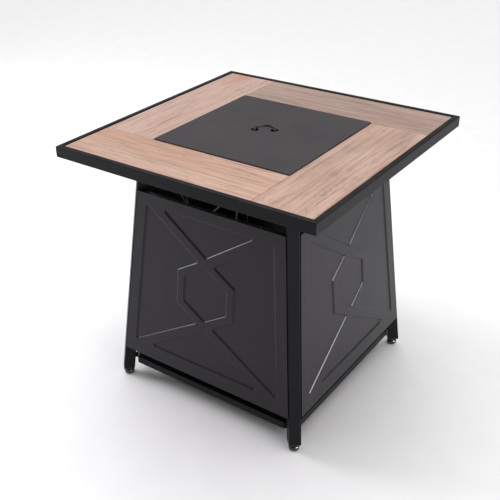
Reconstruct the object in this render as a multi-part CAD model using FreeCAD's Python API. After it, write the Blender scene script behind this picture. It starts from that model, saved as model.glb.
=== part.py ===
"""Square gas fire table: tiled steel top with a covered fire bowl, on a tapered base of panels.

Millimetres, +Z up. The origin is on the ground under the middle of the table. The front is -Y.
Four sides and four legs are alike, so each is drawn once, at the front or the front-left, and
turned about Z. Side 0 is the front, 1 the right, 2 the back (the door), 3 the left (the controls).
"""

import math
import os
import random

import FreeCAD
import Part

V = FreeCAD.Vector
X = V(1, 0, 0)
Y = V(0, 1, 0)
Z = V(0, 0, 1)
ROOT2 = math.sqrt(2)

# ---- driving dimensions -------------------------------------------------------------------

# Table top
TOP_SIDE = 711.0
TOP_HEIGHT = 682.0
RIM_HEIGHT = 27.0
RIM_LIP = 13.0
RIM_SHEET = 1.5
RIM_FLANGE = 20.0
RIM_EDGE_RADIUS = 2.2
TILE_THICK = 9.0
TILE_DROP = 1.5
TILE_TO_LIP = 2.0
TILE_JOINT = 1.0
TILE_BEVEL = 0.8
DECK_SHEET = 1.2
DECK_SIDE_CLEAR = 1.5
DECK_RETURN = 12.0
LEDGE = 14.0
BOSS_HEIGHT = 8.0
BOSS_RADIUS = 7.0
RIVET_RADIUS = 2.0
RIVET_HEAD_RADIUS = 4.0
RIVET_HEAD = 1.2
RIVET_TAIL_RADIUS = 3.0
RIVET_TAIL = 1.5
RIVET_SPREAD = 213.3

# Opening, lid and its handle
OPENING_SIDE = 385.0
LID_GAP = 1.5
LID_SHEET = 1.5
LID_RISE = 3.0
LID_EDGE_RADIUS = 1.4
LID_CORNER = 3.0
HANDLE_TURN_DEG = 25.8
HANDLE_HALF_SPAN = 24.35
FINGER_HOLE_RADIUS = 10.0
HANDLE_ROD_RADIUS = 1.9
HANDLE_FLOAT = 0.3
PIN_REACH = 20.0
CLIP_LENGTH = 7.0
CLIP_WALL = 2.2
CLIP_FROM_HOLE = 1.0
PIVOT_CLEAR = 0.05

# Fire bowl and burner
BOWL_SHEET = 1.2
BOWL_DEPTH = 80.0
BOWL_CORNER = 22.0
BOWL_FLANGE_CLEAR = 1.0
BOWL_DRAIN_RADIUS = 5.0
BOWL_DRAIN_IN = 44.4
BOWL_SCREW_IN = 8.5
BOWL_SCREW_SPREAD = 115.5
BOWL_SCREW_HEAD = 2.0
BOWL_SCREW_BELOW = 4.0
BURNER_RING_RADIUS = 108.0
BURNER_TUBE_RADIUS = 10.0
BURNER_WALL = 1.0
BURNER_LIFT = 9.0
CROSS_TUBE_RADIUS = 9.0
PORT_RADIUS = 1.2
PORT_COUNT = 32
PORT_SPLAY = 0.5
HUB_RADIUS = 16.0
HUB_RISE = 8.0
HUB_BORE_RISE = 5.0
INLET_RADIUS = 10.5
INLET_LENGTH = 52.0
INLET_WALL = 2.0
INLET_ABOVE = 8.0
WINDOW_UP = 34.0
WINDOW_RADIUS = 3.5
SIDE_PORT_UP = 12.0
SIDE_PORT_OUT = 6.0
SIDE_PORT_RADIUS = 8.0
SIDE_PORT_SEAT = 2.0
BURNER_NUT = 8.0
BURNER_NUT_OUT = 6.0
PILOT_Y = -148.0
ELECTRODE_X = -20.0
PROBE_X = 19.0
PROBE_RADIUS = 3.5
PROBE_HOLE = 4.0
PROBE_DROP = 12.0
PROBE_RISE = 30.0
ELECTRODE_RISE = 26.0
SPARK_REACH = 16.0
SPARK_RISE = 9.0
SPARK_WIRE = 1.1
SPARK_SET_IN = 2.0
BRACKET_SHEET = 2.0
BRACKET_RISE = 22.0
BRACKET_END = 12.0
BRACKET_BACK = 10.0
BRACKET_SHELF = 8.0
ROCK_ROWS = 6
ROCK_CLEAR = 1.5
STONE_WIDE = 0.8  # shares of a stone's reach: its widest radius, its ends and its two rings
STONE_END = 0.62
STONE_BELT = 0.3
STONE_CREST = 0.2
STONE_SEED = 7
CORNER_STONE = 0.85  # the stones in the bowl's round corners are smaller by this

# Legs and feet
LEG_SIDE = 30.0
LEG_WALL = 1.5
LEG_CORNER = 2.5
LEG_FACE_AT_FLOOR = 280.8
LEAN = 0.0955
FOOT_HEIGHT = 20.0
FOOT_RADIUS = 13.5
STUD_RADIUS = 4.0
STUD_CLEAR = 0.05
FOOT_PAD = 13.6
FOOT_ROUND = 4.4
FOOT_NECK_RADIUS = 8.4
FOOT_TRAVEL = 12.0
INSERT_LIP = 2.0
INSERT_DEPTH = 16.0
INSERT_CLEAR = 0.2

# Frame under the top
FRAME_TUBE = 20.0
FRAME_WALL = 1.5
FRAME_IN_FROM_LEG = 4.75
LEG_PLATE = 3.0
LEG_BOLT_RADIUS = 4.0
LEG_BOLT_IN = 14.0
LEG_BOLT_HEX = 7.2
LEG_BOLT_HEAD = 5.0
LEG_NUT = 6.0
LEG_BOLT_OUT = 8.0
PLATE_MARGIN = 12.0
PLATE_LIP = 2.0
TOP_BOLT_RADIUS = 3.0
TOP_BOLT_HEAD_RADIUS = 6.0
TOP_BOLT_HEAD = 4.0
TOP_BOLT_SHORT = 2.0
BOSS_BLIND = 1.0
TOP_BOLT_SPREAD = 120.0
HOLE_CLEAR = 0.3

# Side panels
PANEL_BOTTOM = 97.0
PANEL_BELOW_FRAME = 84.3
PANEL_GAP = 3.0
PANEL_SHEET = 1.2
RECESS = 3.0
FIELD_CORNER = 4.0
WALL_RUN = 2.6
BORDER_SIDE = 32.0
BORDER_TOP = 28.5
BORDER_BOTTOM = 40.0
BAND = 26.0
RING_BAND = 22.0
HEX_ABOVE_MIDDLE = 10.5
HEX_APEX = 84.5
HEX_SHOULDER = 39.5
HEX_HALF_WIDTH = 74.5
ARM_END_IN = 58.0
PANEL_RETURN = 14.0
SIDE_FLANGE = 20.0
SCREW_RADIUS = 2.5
SCREW_HEAD_RADIUS = 4.5
SCREW_HEAD = 2.5
SCREW_LENGTH = 12.0
SCREW_FROM_END = 55.0
SCREW_ALONG = 14.0
BOSS_RADIUS_LEG = 5.0

# Door hinge and catch
DOOR_SIDE = 2
HINGE_RADIUS = 3.0
HINGE_PIN_RADIUS = 1.5
HINGE_STANDOFF = 0.3
HINGE_LEAF = 18.0
HINGE_LEAF_THICK = 1.2
HINGE_LENGTH = 42.0
HINGE_FROM_END = 90.0
KNUCKLE_GAP = 0.4
MAGNET_LENGTH = 40.0
MAGNET_WIDTH = 12.0
MAGNET_CLEAR = 0.35

# Bottom tray and cylinder seat
TRAY_HALF = 265.0
TRAY_TO_LEG = 5.05
TRAY_FLOOR_AT = 44.0
TRAY_WALL_HEIGHT = 19.0
TRAY_SHEET = 1.5
TRAY_BOLT_RADIUS = 3.0
TRAY_BOLT_HEX = 5.7
TRAY_BOLT_UP = 11.4
TRAY_BOLT_HEAD = 4.2
TRAY_BOLT_LENGTH = 22.0
SPACER_RADIUS = 7.0
VENT_RADIUS = 20.0
VENT_AT = 54.0
SEAT_RADIUS = 108.0
SEAT_WALL = 2.0
SEAT_HEIGHT = 26.0
LOCK_RADIUS = 4.0
LOCK_TRAVEL = 15.0
LOCK_NUT = 12.0
LOCK_BLOCK = 9.0
LOCK_UP = 15.6
LOCK_BACK = 4.0
LOCK_PAST_RING = 1.0
LOCK_COLLAR = 8.0
LOCK_COLLAR_RADIUS = 6.8
WING = ((0, 1), (6, 1), (17, 5), (15, 12), (4, 7), (0, 7))
WING_THICK = 4.0

# Controls, on the left side
CONTROL_OUT = 37.38
CONTROL_WIDTH = 170.0
CONTROL_HEIGHT = 62.0
CONTROL_SHEET = 1.5
CONTROL_DROP = 22.0
CONTROL_FOLD = 20.0
CONTROL_RETURN = 5.0
CONTROL_SCREW_IN = 15.0
SCREW_BITE = 0.96
VALVE_NECK = 8.0
NECK_OUT = 1.0
VALVE_DEPTH = 30.0
VALVE_HALF = 14.0
VALVE_BOSS = 8.0
VALVE_BOSS_RADIUS = 7.5
VALVE_FOOT = 2.0
OUTLET_LENGTH = 9.0
OUTLET_BELOW = 6.0
OUTLET_WALL = 2.0
PROBE_PORT_LENGTH = 6.0
PROBE_PORT_SIDE = 10.0
PROBE_PORT_UP = 8.0
INLET_THREAD = 7.9
INLET_BORE = 4.0
INLET_NUT = 9.0
INLET_NUT_LENGTH = 8.0
INLET_SPIGOT = 12.0
INLET_BLIND = 4.0
STEM_OUT = 17.0
STEM_IN = 12.0
STEM_ROOM = 3.0
FLAT_FROM = 7.0
FLAT_UP = 1.8
KNOB_RADIUS = 19.0
KNOB_LENGTH = 20.0
KNOB_AT = 40.0
KNOB_PUSH = 4.0
KNOB_GAP = 1.5
KNOB_SKIRT = 7.0
KNOB_CROWN_RADIUS = 13.7
SKIRT_EDGE = 2.0
CROWN_EDGE = 1.5
KNOB_CAP = 1.0
GRIP_OUT = 4.0
GRIP_HALF = 3.5
GRIP_REACH = 12.5
KEY_CLEAR = 0.3
STEM_RADIUS = 3.0
IGNITER_AT = -40.0
IGNITER_RADIUS = 12.0
BUTTON_RADIUS = 9.0
BUTTON_TRAVEL = 5.0
IGNITER_DEPTH = 56.0
IGNITER_LIP = 4.0
TERMINAL_LENGTH = 5.0
TERMINAL_WALL = 1.2
BUTTON_ROOM = 14.0
BUTTON_PROUD = 3.0
BUTTON_EDGE = 1.5
CELL_CLEAR = 0.3
CELL_END_GAP = 1.0
CELL_TIP_RADIUS = 2.1
CELL_RADIUS = 5.2

# Tube and leads
LEAD_RADIUS = 1.8
SUPPLY_RADIUS = 4.0
SUPPLY_WALL = 1.0
ARC_SHARE = 0.45  # how much of the shorter run each bend takes at its corner

# ---- levels and places worked out from them -----------------------------------------------

OVER = 1.0  # how far a cut runs past what it cuts
NEAR = 0.01  # nearer than this is the same place
CUT_REACH = 20.0  # how far a cut reaches each way through a panel
HALF_TOP = TOP_SIDE / 2
OPENING = OPENING_SIDE / 2
RIM_BOTTOM = TOP_HEIGHT - RIM_HEIGHT
TILE_TOP = TOP_HEIGHT - TILE_DROP
DECK_TOP = TILE_TOP - TILE_THICK
DECK_BOTTOM = DECK_TOP - DECK_SHEET
BOSS_BOTTOM = DECK_BOTTOM - BOSS_HEIGHT
FRAME_BOTTOM = BOSS_BOTTOM - FRAME_TUBE
LEG_BOTTOM = FOOT_HEIGHT + INSERT_LIP
LEG_TOP = FRAME_BOTTOM - LEG_PLATE
LEG_OFFSET = LEG_SIDE / 2 / ROOT2
BOWL_RIM = DECK_TOP + BOWL_SHEET
BOWL_HALF = OPENING - LEDGE - BOWL_FLANGE_CLEAR
BOWL_FLOOR = BOWL_RIM - BOWL_DEPTH
LID_HALF = OPENING - LID_GAP
LID_TOP = TILE_TOP + LID_RISE
HANDLE_AXIS = LID_TOP - LID_SHEET - HANDLE_ROD_RADIUS - HANDLE_FLOAT
HANDLE_LEVEL = LID_TOP + HANDLE_ROD_RADIUS + HANDLE_FLOAT
BURNER_LEVEL = BOWL_FLOOR + BOWL_SHEET + BURNER_LIFT + BURNER_TUBE_RADIUS
CONTROL_TOP = DECK_BOTTOM
CONTROL_LEVEL = DECK_BOTTOM - CONTROL_DROP - CONTROL_HEIGHT / 2
PORT_LEVEL = CONTROL_LEVEL - OUTLET_BELOW
TRAY_BOLT_LEVEL = TRAY_FLOOR_AT + TRAY_BOLT_UP
LOCK_LEVEL = TRAY_FLOOR_AT + TRAY_SHEET + LOCK_UP
LEAN_ANGLE = math.atan(LEAN)
SIDE_GAP = PANEL_GAP / ROOT2

# Directions at the front-left leg: inward, from the leg to the front panel, up the leg, out
# of the front panel, along the panel's width, along the leg's outer face and out of that face
DIAGONAL = V(1, 1, 0) / ROOT2
FROM_LEG = V(1, -1, 0) / ROOT2
UP_LEG = V(LEAN, LEAN, 1).normalize()
PANEL_OUT = V(0, -math.cos(LEAN_ANGLE), math.sin(LEAN_ANGLE))
PANEL_ALONG = UP_LEG.cross(PANEL_OUT).normalize()
ALONG_FACE = V(-1, 1, 0) / ROOT2
LEG_OUT = UP_LEG.cross(ALONG_FACE).normalize()


def leg_face(z):
    """x and y of the middle of a leg's outer face, at height z."""
    return LEG_FACE_AT_FLOOR - LEAN * z


# What follows the legs' slope: the panels' top, the frame's corners, the controls, the tray's corners
PANEL_TOP = FRAME_BOTTOM - PANEL_BELOW_FRAME
HEX_CENTRE = (PANEL_BOTTOM + PANEL_TOP) / 2 + HEX_ABOVE_MIDDLE
FRAME_OUTER = 2 * (leg_face(LEG_TOP) - FRAME_IN_FROM_LEG)
CONTROL_X = -(leg_face(PANEL_TOP) + LEG_OFFSET + CONTROL_OUT)
TRAY_CORNER = leg_face(TRAY_FLOOR_AT + TRAY_WALL_HEIGHT) * ROOT2 - LEG_SIDE - TRAY_TO_LEG
TRAY_NOTCH = 2 * TRAY_HALF - TRAY_CORNER * ROOT2


def box(x0, x1, y0, y1, z0, z1):
    return Part.makeBox(x1 - x0, y1 - y0, z1 - z0, V(x0, y0, z0))


def slab(half, z0, z1):
    """A square plate round the Z axis."""
    return box(-half, half, -half, half, z0, z1)


def rod(start, end, radius):
    line = end - start
    return Part.makeCylinder(radius, line.Length, start, line)


def prism(points, along):
    """A polygon pushed along a vector."""
    return Part.Face(Part.makePolygon(list(points) + [points[0]])).extrude(along)


def turned(shape, quarter):
    """A copy turned about Z by that many quarter turns."""
    copy = shape.copy()
    copy.rotate(V(), Z, 90 * quarter)
    return copy


def swapped(shape):
    """A copy mirrored in the diagonal plane x = y."""
    return shape.mirror(V(), V(1, -1, 0))


def fused(shapes):
    shapes = list(shapes)
    if len(shapes) == 1:
        return shapes[0]
    return shapes[0].multiFuse(shapes[1:]).removeSplitter()


def filleted(shape, radius, wanted):
    """Rounds the edges for which wanted(edge) is true."""
    return shape.makeFillet(radius, [edge for edge in shape.Edges if wanted(edge)])


def level_edge(edge, z):
    room = edge.BoundBox
    return abs(room.ZMin - z) < NEAR and abs(room.ZMax - z) < NEAR


def upright_edge(edge):
    room = edge.BoundBox
    return room.ZLength > max(room.XLength, room.YLength)


def rim_edge(edge, x):
    """Whether an edge is a whole circle round X, at that x."""
    return edge.Closed and abs(edge.BoundBox.XMax - x) < NEAR


# ---- table top ----------------------------------------------------------------------------


def tabletop_rim():
    """Folded steel edge: a lip over the tiles, a tall face and a flange turned in below."""
    inner = HALF_TOP - RIM_SHEET
    blank = slab(HALF_TOP, RIM_BOTTOM, TOP_HEIGHT)
    rounded = filleted(blank, RIM_EDGE_RADIUS, lambda edge: level_edge(edge, TOP_HEIGHT))
    room = slab(inner, RIM_BOTTOM + RIM_SHEET, TOP_HEIGHT - RIM_SHEET)
    mouth = slab(HALF_TOP - RIM_LIP, RIM_BOTTOM + RIM_SHEET, TOP_HEIGHT)
    below = slab(HALF_TOP - RIM_FLANGE, RIM_BOTTOM - OVER, RIM_BOTTOM + RIM_SHEET)
    holes = [
        rod(p - Z * (RIM_SHEET + OVER), p + Z * OVER, RIVET_RADIUS + HOLE_CLEAR)
        for p in rivet_points()
    ]
    return rounded.cut([room, mouth, below] + holes)


def rivet_points():
    """Where the rim's flange is riveted to the deck."""
    reach = HALF_TOP - RIM_SHEET - DECK_SIDE_CLEAR - DECK_RETURN / 2 - DECK_SHEET
    level = RIM_BOTTOM + RIM_SHEET
    points = []
    for quarter in range(4):
        for a in (-RIVET_SPREAD, 0, RIVET_SPREAD):
            points.append(FreeCAD.Rotation(Z, 90 * quarter).multVec(V(a, -reach, level)))
    return points


def rim_rivets():
    rivets = []
    for p in rivet_points():
        shank = rod(p - Z * RIM_SHEET, p + Z * DECK_SHEET, RIVET_RADIUS)
        head = rod(p - Z * (RIM_SHEET + RIVET_HEAD), p - Z * RIM_SHEET, RIVET_HEAD_RADIUS)
        tail = rod(p + Z * DECK_SHEET, p + Z * (DECK_SHEET + RIVET_TAIL), RIVET_TAIL_RADIUS)
        rivets.append(fused([shank, head, tail]))
    return Part.makeCompound(rivets)


def frame_bolt_points():
    """Eight bolts, two on each rail of the frame, up into the deck's bosses."""
    line = FRAME_OUTER / 2 - FRAME_TUBE / 2
    points = []
    for quarter in range(4):
        for a in (-TOP_BOLT_SPREAD, TOP_BOLT_SPREAD):
            points.append(FreeCAD.Rotation(Z, 90 * quarter).multVec(V(a, -line, 0)))
    return points


def tabletop_deck():
    """Pressed tray that carries the tiles, with an opening for the bowl and bosses below."""
    half = HALF_TOP - RIM_SHEET - DECK_SIDE_CLEAR
    foot = RIM_BOTTOM + RIM_SHEET
    skin = slab(half, foot, DECK_TOP)
    inside = slab(half - DECK_SHEET, foot + DECK_SHEET, DECK_BOTTOM)
    return_hole = slab(half - DECK_SHEET - DECK_RETURN, foot - OVER, foot + DECK_SHEET)
    opening = slab(OPENING - LEDGE, DECK_BOTTOM - OVER, DECK_TOP + OVER)
    deck = skin.cut([inside, return_hole, opening])
    bosses = [rod(p + Z * BOSS_BOTTOM, p + Z * DECK_BOTTOM, BOSS_RADIUS) for p in frame_bolt_points()]
    bores = [
        rod(p + Z * (BOSS_BOTTOM - OVER), p + Z * (DECK_BOTTOM - BOSS_BLIND), TOP_BOLT_RADIUS + HOLE_CLEAR)
        for p in frame_bolt_points()
    ]
    through = Z * (DECK_SHEET + OVER)
    holes = [rod(p - Z * OVER, p + through, RIVET_RADIUS + HOLE_CLEAR) for p in rivet_points()]
    holes += [rod(p - through, p + Z * OVER, SCREW_RADIUS + HOLE_CLEAR) for p in bowl_screw_points()]
    bite = Z * (SCREW_BITE + STUD_CLEAR)
    holes += [rod(p - Z * OVER, p + bite, SCREW_RADIUS + HOLE_CLEAR) for p in control_screw_points()]
    return fused([deck] + bosses).cut(bores + holes)


def tile(quarter):
    """One of four like tiles, laid like a pinwheel round the opening."""
    outer = HALF_TOP - RIM_LIP - TILE_TO_LIP
    blank = box(-outer, OPENING - TILE_JOINT / 2, -outer, -OPENING, DECK_TOP, TILE_TOP)
    first = blank.cut(box(-outer, -OPENING, -OPENING - TILE_JOINT / 2, -OPENING, DECK_TOP, TILE_TOP))
    top_edges = [edge for edge in first.Edges if level_edge(edge, TILE_TOP)]
    return turned(first.makeChamfer(TILE_BEVEL, top_edges), quarter)


# ---- lid and handle -----------------------------------------------------------------------


def handle_placed(shape):
    """From handle axes, with the hinge line along X at height 0, to the lid."""
    copy = shape.copy()
    copy.rotate(V(), Z, HANDLE_TURN_DEG)
    copy.translate(V(0, 0, HANDLE_AXIS))
    return copy


def finger_holes():
    through = Z * (LID_TOP - BOWL_RIM)
    holes = []
    for side in (-1, 1):
        centre = V(side * HANDLE_HALF_SPAN, 0, 0)
        holes.append(rod(centre - through, centre + through, FINGER_HOLE_RADIUS))
    return handle_placed(Part.makeCompound(holes))


def lid():
    """Flat cover with a short skirt that stands on the bowl's flange."""
    blank = slab(LID_HALF, BOWL_RIM, LID_TOP)
    corners = filleted(blank, LID_CORNER, upright_edge)
    rounded = filleted(corners, LID_EDGE_RADIUS, lambda edge: level_edge(edge, LID_TOP))
    room = slab(LID_HALF - LID_SHEET, BOWL_RIM - OVER, LID_TOP - LID_SHEET)
    return rounded.cut([room, finger_holes()])


def quarter_bend(start, middle_of_bend, end, radius):
    """A quarter circle between two points, round a known centre."""
    out = (start + end) / 2 - middle_of_bend
    return Part.Arc(start, middle_of_bend + out.normalize() * radius, end).toShape()


def lid_handle():
    """Half-ring bail of round rod. It folds flat and stands up to lift the lid."""
    bend = (HANDLE_LEVEL - HANDLE_AXIS) / 2
    span = HANDLE_HALF_SPAN
    sides = []
    for side in (1, -1):
        pin = V(side * (span + PIN_REACH), 0, 0)
        low = V(side * (span + bend), 0, 0)
        middle = V(side * span, 0, bend)
        high = V(side * span, bend, 2 * bend)
        sides.append([
            Part.LineSegment(pin, low).toShape(),
            quarter_bend(low, low + Z * bend, middle, bend),
            quarter_bend(middle, middle + Y * bend, high, bend),
        ])
    crown = V(0, bend + span, 2 * bend)
    ring = Part.Arc(V(span, bend, 2 * bend), crown, V(-span, bend, 2 * bend)).toShape()
    wire = Part.Wire(sides[0] + [ring] + sides[1][::-1])
    circle = Part.Wire(Part.Circle(V(span + PIN_REACH, 0, 0), X, HANDLE_ROD_RADIUS).toShape())
    return handle_placed(wire.makePipeShell([circle], True, False))


def handle_clips():
    """Two blocks welded under the lid, which the bail's pins turn in."""
    top = LID_TOP - LID_SHEET - HANDLE_AXIS
    half = HANDLE_ROD_RADIUS + CLIP_WALL
    clips = []
    for side in (-1, 1):
        near = HANDLE_HALF_SPAN + FINGER_HOLE_RADIUS + CLIP_FROM_HOLE
        x0, x1 = sorted((side * near, side * (near + CLIP_LENGTH)))
        block = box(x0, x1, -half, half, -half, top)
        bore = rod(V(x0 - OVER, 0, 0), V(x1 + OVER, 0, 0), HANDLE_ROD_RADIUS + PIVOT_CLEAR)
        clips.append(block.cut(bore))
    return handle_placed(Part.makeCompound(clips))


# ---- fire bowl, burner and stones ---------------------------------------------------------


def round_slab(half, corner, z0, z1):
    return filleted(slab(half, z0, z1), corner, upright_edge)


def bowl_screw_points():
    reach = OPENING - BOWL_SCREW_IN
    points = []
    for quarter in range(4):
        turn = FreeCAD.Rotation(Z, 90 * quarter)
        for a in (BOWL_SCREW_SPREAD, -BOWL_SCREW_SPREAD):
            points.append(turn.multVec(V(a, -reach, DECK_TOP)))
    return points


def fire_bowl():
    """Pressed pan hung in the opening by its flange."""
    flange = slab(OPENING - BOWL_FLANGE_CLEAR, DECK_TOP, BOWL_RIM)
    body = round_slab(BOWL_HALF, BOWL_CORNER, BOWL_FLOOR, DECK_TOP)
    half, corner = BOWL_HALF - BOWL_SHEET, BOWL_CORNER - BOWL_SHEET
    room = round_slab(half, corner, BOWL_FLOOR + BOWL_SHEET, BOWL_RIM + OVER)
    holes = [
        rod(p - Z * OVER, p + Z * (BOWL_SHEET + OVER), SCREW_RADIUS + HOLE_CLEAR)
        for p in bowl_screw_points()
    ]
    drain = BOWL_HALF - BOWL_DRAIN_IN
    spots = [V(drain, drain, 0), V(-drain, drain, 0), V(drain, -drain, 0), V(-drain, -drain, 0)]
    holes += [floor_hole(p, BOWL_DRAIN_RADIUS) for p in spots]
    holes.append(floor_hole(V(), INLET_RADIUS + HOLE_CLEAR))
    for x in (ELECTRODE_X, PROBE_X):
        holes.append(floor_hole(V(x, PILOT_Y, 0), PROBE_HOLE))
    return flange.fuse(body).cut([room] + holes)


def floor_hole(point, radius):
    return rod(point + Z * (BOWL_FLOOR - OVER), point + Z * (BOWL_FLOOR + BOWL_SHEET + OVER), radius)


def bowl_screws():
    screws = []
    for p in bowl_screw_points():
        head = rod(p + Z * BOWL_SHEET, p + Z * (BOWL_SHEET + BOWL_SCREW_HEAD), SCREW_HEAD_RADIUS)
        shank = rod(p + Z * BOWL_SHEET, p - Z * (DECK_SHEET + BOWL_SCREW_BELOW), SCREW_RADIUS)
        screws.append(head.fuse(shank))
    return Part.makeCompound(screws)


def burner_ring():
    """Round tube burner with a cross tube and a hub over the gas inlet."""
    centre = V(0, 0, BURNER_LEVEL)
    r = BURNER_TUBE_RADIUS
    half_cross = X * BURNER_RING_RADIUS
    floor = BOWL_FLOOR + BOWL_SHEET
    outer = fused([
        Part.makeTorus(BURNER_RING_RADIUS, r, centre),
        rod(centre - half_cross, centre + half_cross, CROSS_TUBE_RADIUS),
        rod(V(0, 0, floor), centre + Z * HUB_RISE, HUB_RADIUS),
    ])
    inner = fused([
        Part.makeTorus(BURNER_RING_RADIUS, r - BURNER_WALL, centre),
        rod(centre - half_cross, centre + half_cross, CROSS_TUBE_RADIUS - BURNER_WALL),
        rod(V(0, 0, floor - OVER), centre + Z * HUB_BORE_RISE, INLET_RADIUS + HOLE_CLEAR),
    ])
    ports = []
    for i in range(PORT_COUNT):
        angle = 2 * math.pi * (i + 0.5) / PORT_COUNT
        out = V(math.cos(angle), math.sin(angle), 0)
        start = centre + out * BURNER_RING_RADIUS
        ports.append(rod(start, start + (out * PORT_SPLAY + Z) * (r + OVER), PORT_RADIUS))
    return outer.cut(inner).cut(ports)


def burner_inlet():
    """Mixing tube that stands through the bowl's floor, with air windows and a side port."""
    top = BOWL_FLOOR + BOWL_SHEET + INLET_ABOVE
    bottom = BOWL_FLOOR - INLET_LENGTH
    tube = rod(V(0, 0, bottom), V(0, 0, top), INLET_RADIUS)
    bore = rod(V(0, 0, bottom + INLET_WALL), V(0, 0, top + OVER), INLET_RADIUS - INLET_WALL)
    level = Z * (bottom + WINDOW_UP)
    past = INLET_RADIUS + OVER
    windows = [rod(level - d * past, level + d * past, WINDOW_RADIUS) for d in (X, Y)]
    mouth = side_port_mouth()
    port = rod(mouth, mouth + X * (SIDE_PORT_OUT + INLET_WALL), SIDE_PORT_RADIUS)
    body = fused([tube, port]).cut([bore] + windows)
    return body.cut(rod(mouth + X * SIDE_PORT_SEAT, V(0, 0, mouth.z), SUPPLY_RADIUS - SUPPLY_WALL))


def side_port_mouth():
    """Where the gas tube meets the burner's inlet."""
    return V(-INLET_RADIUS - SIDE_PORT_OUT, 0, BOWL_FLOOR - INLET_LENGTH + SIDE_PORT_UP)


def burner_nut():
    """Hexagon nut that clamps the inlet under the bowl."""
    low = Z * (BOWL_FLOOR - BURNER_NUT)
    nut = hexagon_prism(low, X, Y, INLET_RADIUS + BURNER_NUT_OUT, Z * BURNER_NUT)
    return nut.cut(rod(low - Z * OVER, Z * (BOWL_FLOOR + OVER), INLET_RADIUS + STUD_CLEAR))


def hexagon_prism(centre, first, second, radius, along):
    """Six-sided bar from a centre, with its section drawn on two directions."""
    corners = []
    for i in range(6):
        angle = math.radians(60 * i)
        corners.append(centre + (first * math.cos(angle) + second * math.sin(angle)) * radius)
    return prism(corners, along)


def pilot_bracket():
    """Plate on the bowl's floor that holds the electrode and the flame probe."""
    floor = BOWL_FLOOR + BOWL_SHEET
    top = floor + BRACKET_RISE
    x0, x1 = ELECTRODE_X - BRACKET_END, PROBE_X + BRACKET_END
    y0 = PILOT_Y - BRACKET_BACK
    y1 = y0 + BRACKET_SHEET
    foot = box(x0, x1, y0, PILOT_Y + BRACKET_END, floor, floor + BRACKET_SHEET)
    shelf = box(x0, x1, y1, PILOT_Y + BRACKET_SHELF, top - BRACKET_SHEET, top)
    back = box(x0, x1, y0, y1, floor, top)
    holes = [
        rod(V(x, PILOT_Y, floor - OVER), V(x, PILOT_Y, top + OVER), PROBE_RADIUS + PIVOT_CLEAR)
        for x in (ELECTRODE_X, PROBE_X)
    ]
    return fused([foot, shelf, back]).cut(holes)


def ignition_electrode():
    """Ceramic rod with a wire tip that leans over the burner."""
    floor = BOWL_FLOOR + BOWL_SHEET
    base = V(ELECTRODE_X, PILOT_Y, BOWL_FLOOR - PROBE_DROP)
    neck = V(ELECTRODE_X, PILOT_Y, floor + ELECTRODE_RISE)
    tip = neck + V(0, SPARK_REACH, SPARK_RISE)
    return fused([rod(base, neck, PROBE_RADIUS), rod(neck - Z * SPARK_SET_IN, tip, SPARK_WIRE)])


def flame_probe():
    """Thermocouple, which shuts the gas when the flame goes out."""
    floor = BOWL_FLOOR + BOWL_SHEET
    base = V(PROBE_X, PILOT_Y, BOWL_FLOOR - PROBE_DROP)
    top = V(PROBE_X, PILOT_Y, floor + PROBE_RISE)
    return fused([rod(base, top, PROBE_RADIUS), Part.makeSphere(PROBE_RADIUS, top)])


def stone(centre, reach, chance):
    """A rough six-sided stone: two rings of jittered corners and two ends."""
    lower, upper = [], []
    for i in range(6):
        angle = math.radians(60 * i)
        out = V(math.cos(angle), math.sin(angle), 0)
        low_out = chance.uniform(STONE_END, STONE_WIDE)
        high_out = chance.uniform(STONE_END, STONE_WIDE)
        high_up = chance.uniform(STONE_CREST, STONE_BELT)
        lower.append(centre + (out * low_out - Z * STONE_BELT) * reach)
        upper.append(centre + (out * high_out + Z * high_up) * reach)
    bottom = centre - Z * reach * STONE_END
    top = centre + Z * reach * STONE_END
    faces = []
    for i in range(6):
        j = (i + 1) % 6
        for corners in (
            (bottom, lower[j], lower[i]),
            (top, upper[i], upper[j]),
            (lower[i], lower[j], upper[j]),
            (lower[i], upper[j], upper[i]),
        ):
            faces.append(Part.Face(Part.makePolygon(list(corners) + [corners[0]])))
    return Part.Solid(Part.Shell(faces))


def lava_rocks():
    """One loose layer of stones over the burner, each clear of its neighbours."""
    chance = random.Random(STONE_SEED)
    room = BOWL_HALF - BOWL_SHEET - ROCK_CLEAR
    pitch = 2 * room / ROCK_ROWS
    reach = pitch / 2 / STONE_WIDE - ROCK_CLEAR
    level = BURNER_LEVEL + BURNER_TUBE_RADIUS + ROCK_CLEAR + reach * STONE_END
    stones = []
    for row in range(ROCK_ROWS):
        for column in range(ROCK_ROWS):
            place = V((column + 0.5) * pitch - room, (row + 0.5) * pitch - room, level)
            if abs(place.y - PILOT_Y) < pitch / 2 and abs(place.x) < pitch:
                continue
            corner = abs(place.x) + pitch > room and abs(place.y) + pitch > room
            stones.append(stone(place, reach * (CORNER_STONE if corner else 1.0), chance))
    return Part.makeCompound(stones)


# ---- frame under the top ------------------------------------------------------------------


def leg_bolt_point():
    """The front-left leg's bolt, on the diagonal, inboard of the tube."""
    inner = leg_face(LEG_TOP) - LEG_SIDE / ROOT2
    return V(-1, -1, 0) * (inner - LEG_BOLT_IN)


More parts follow.
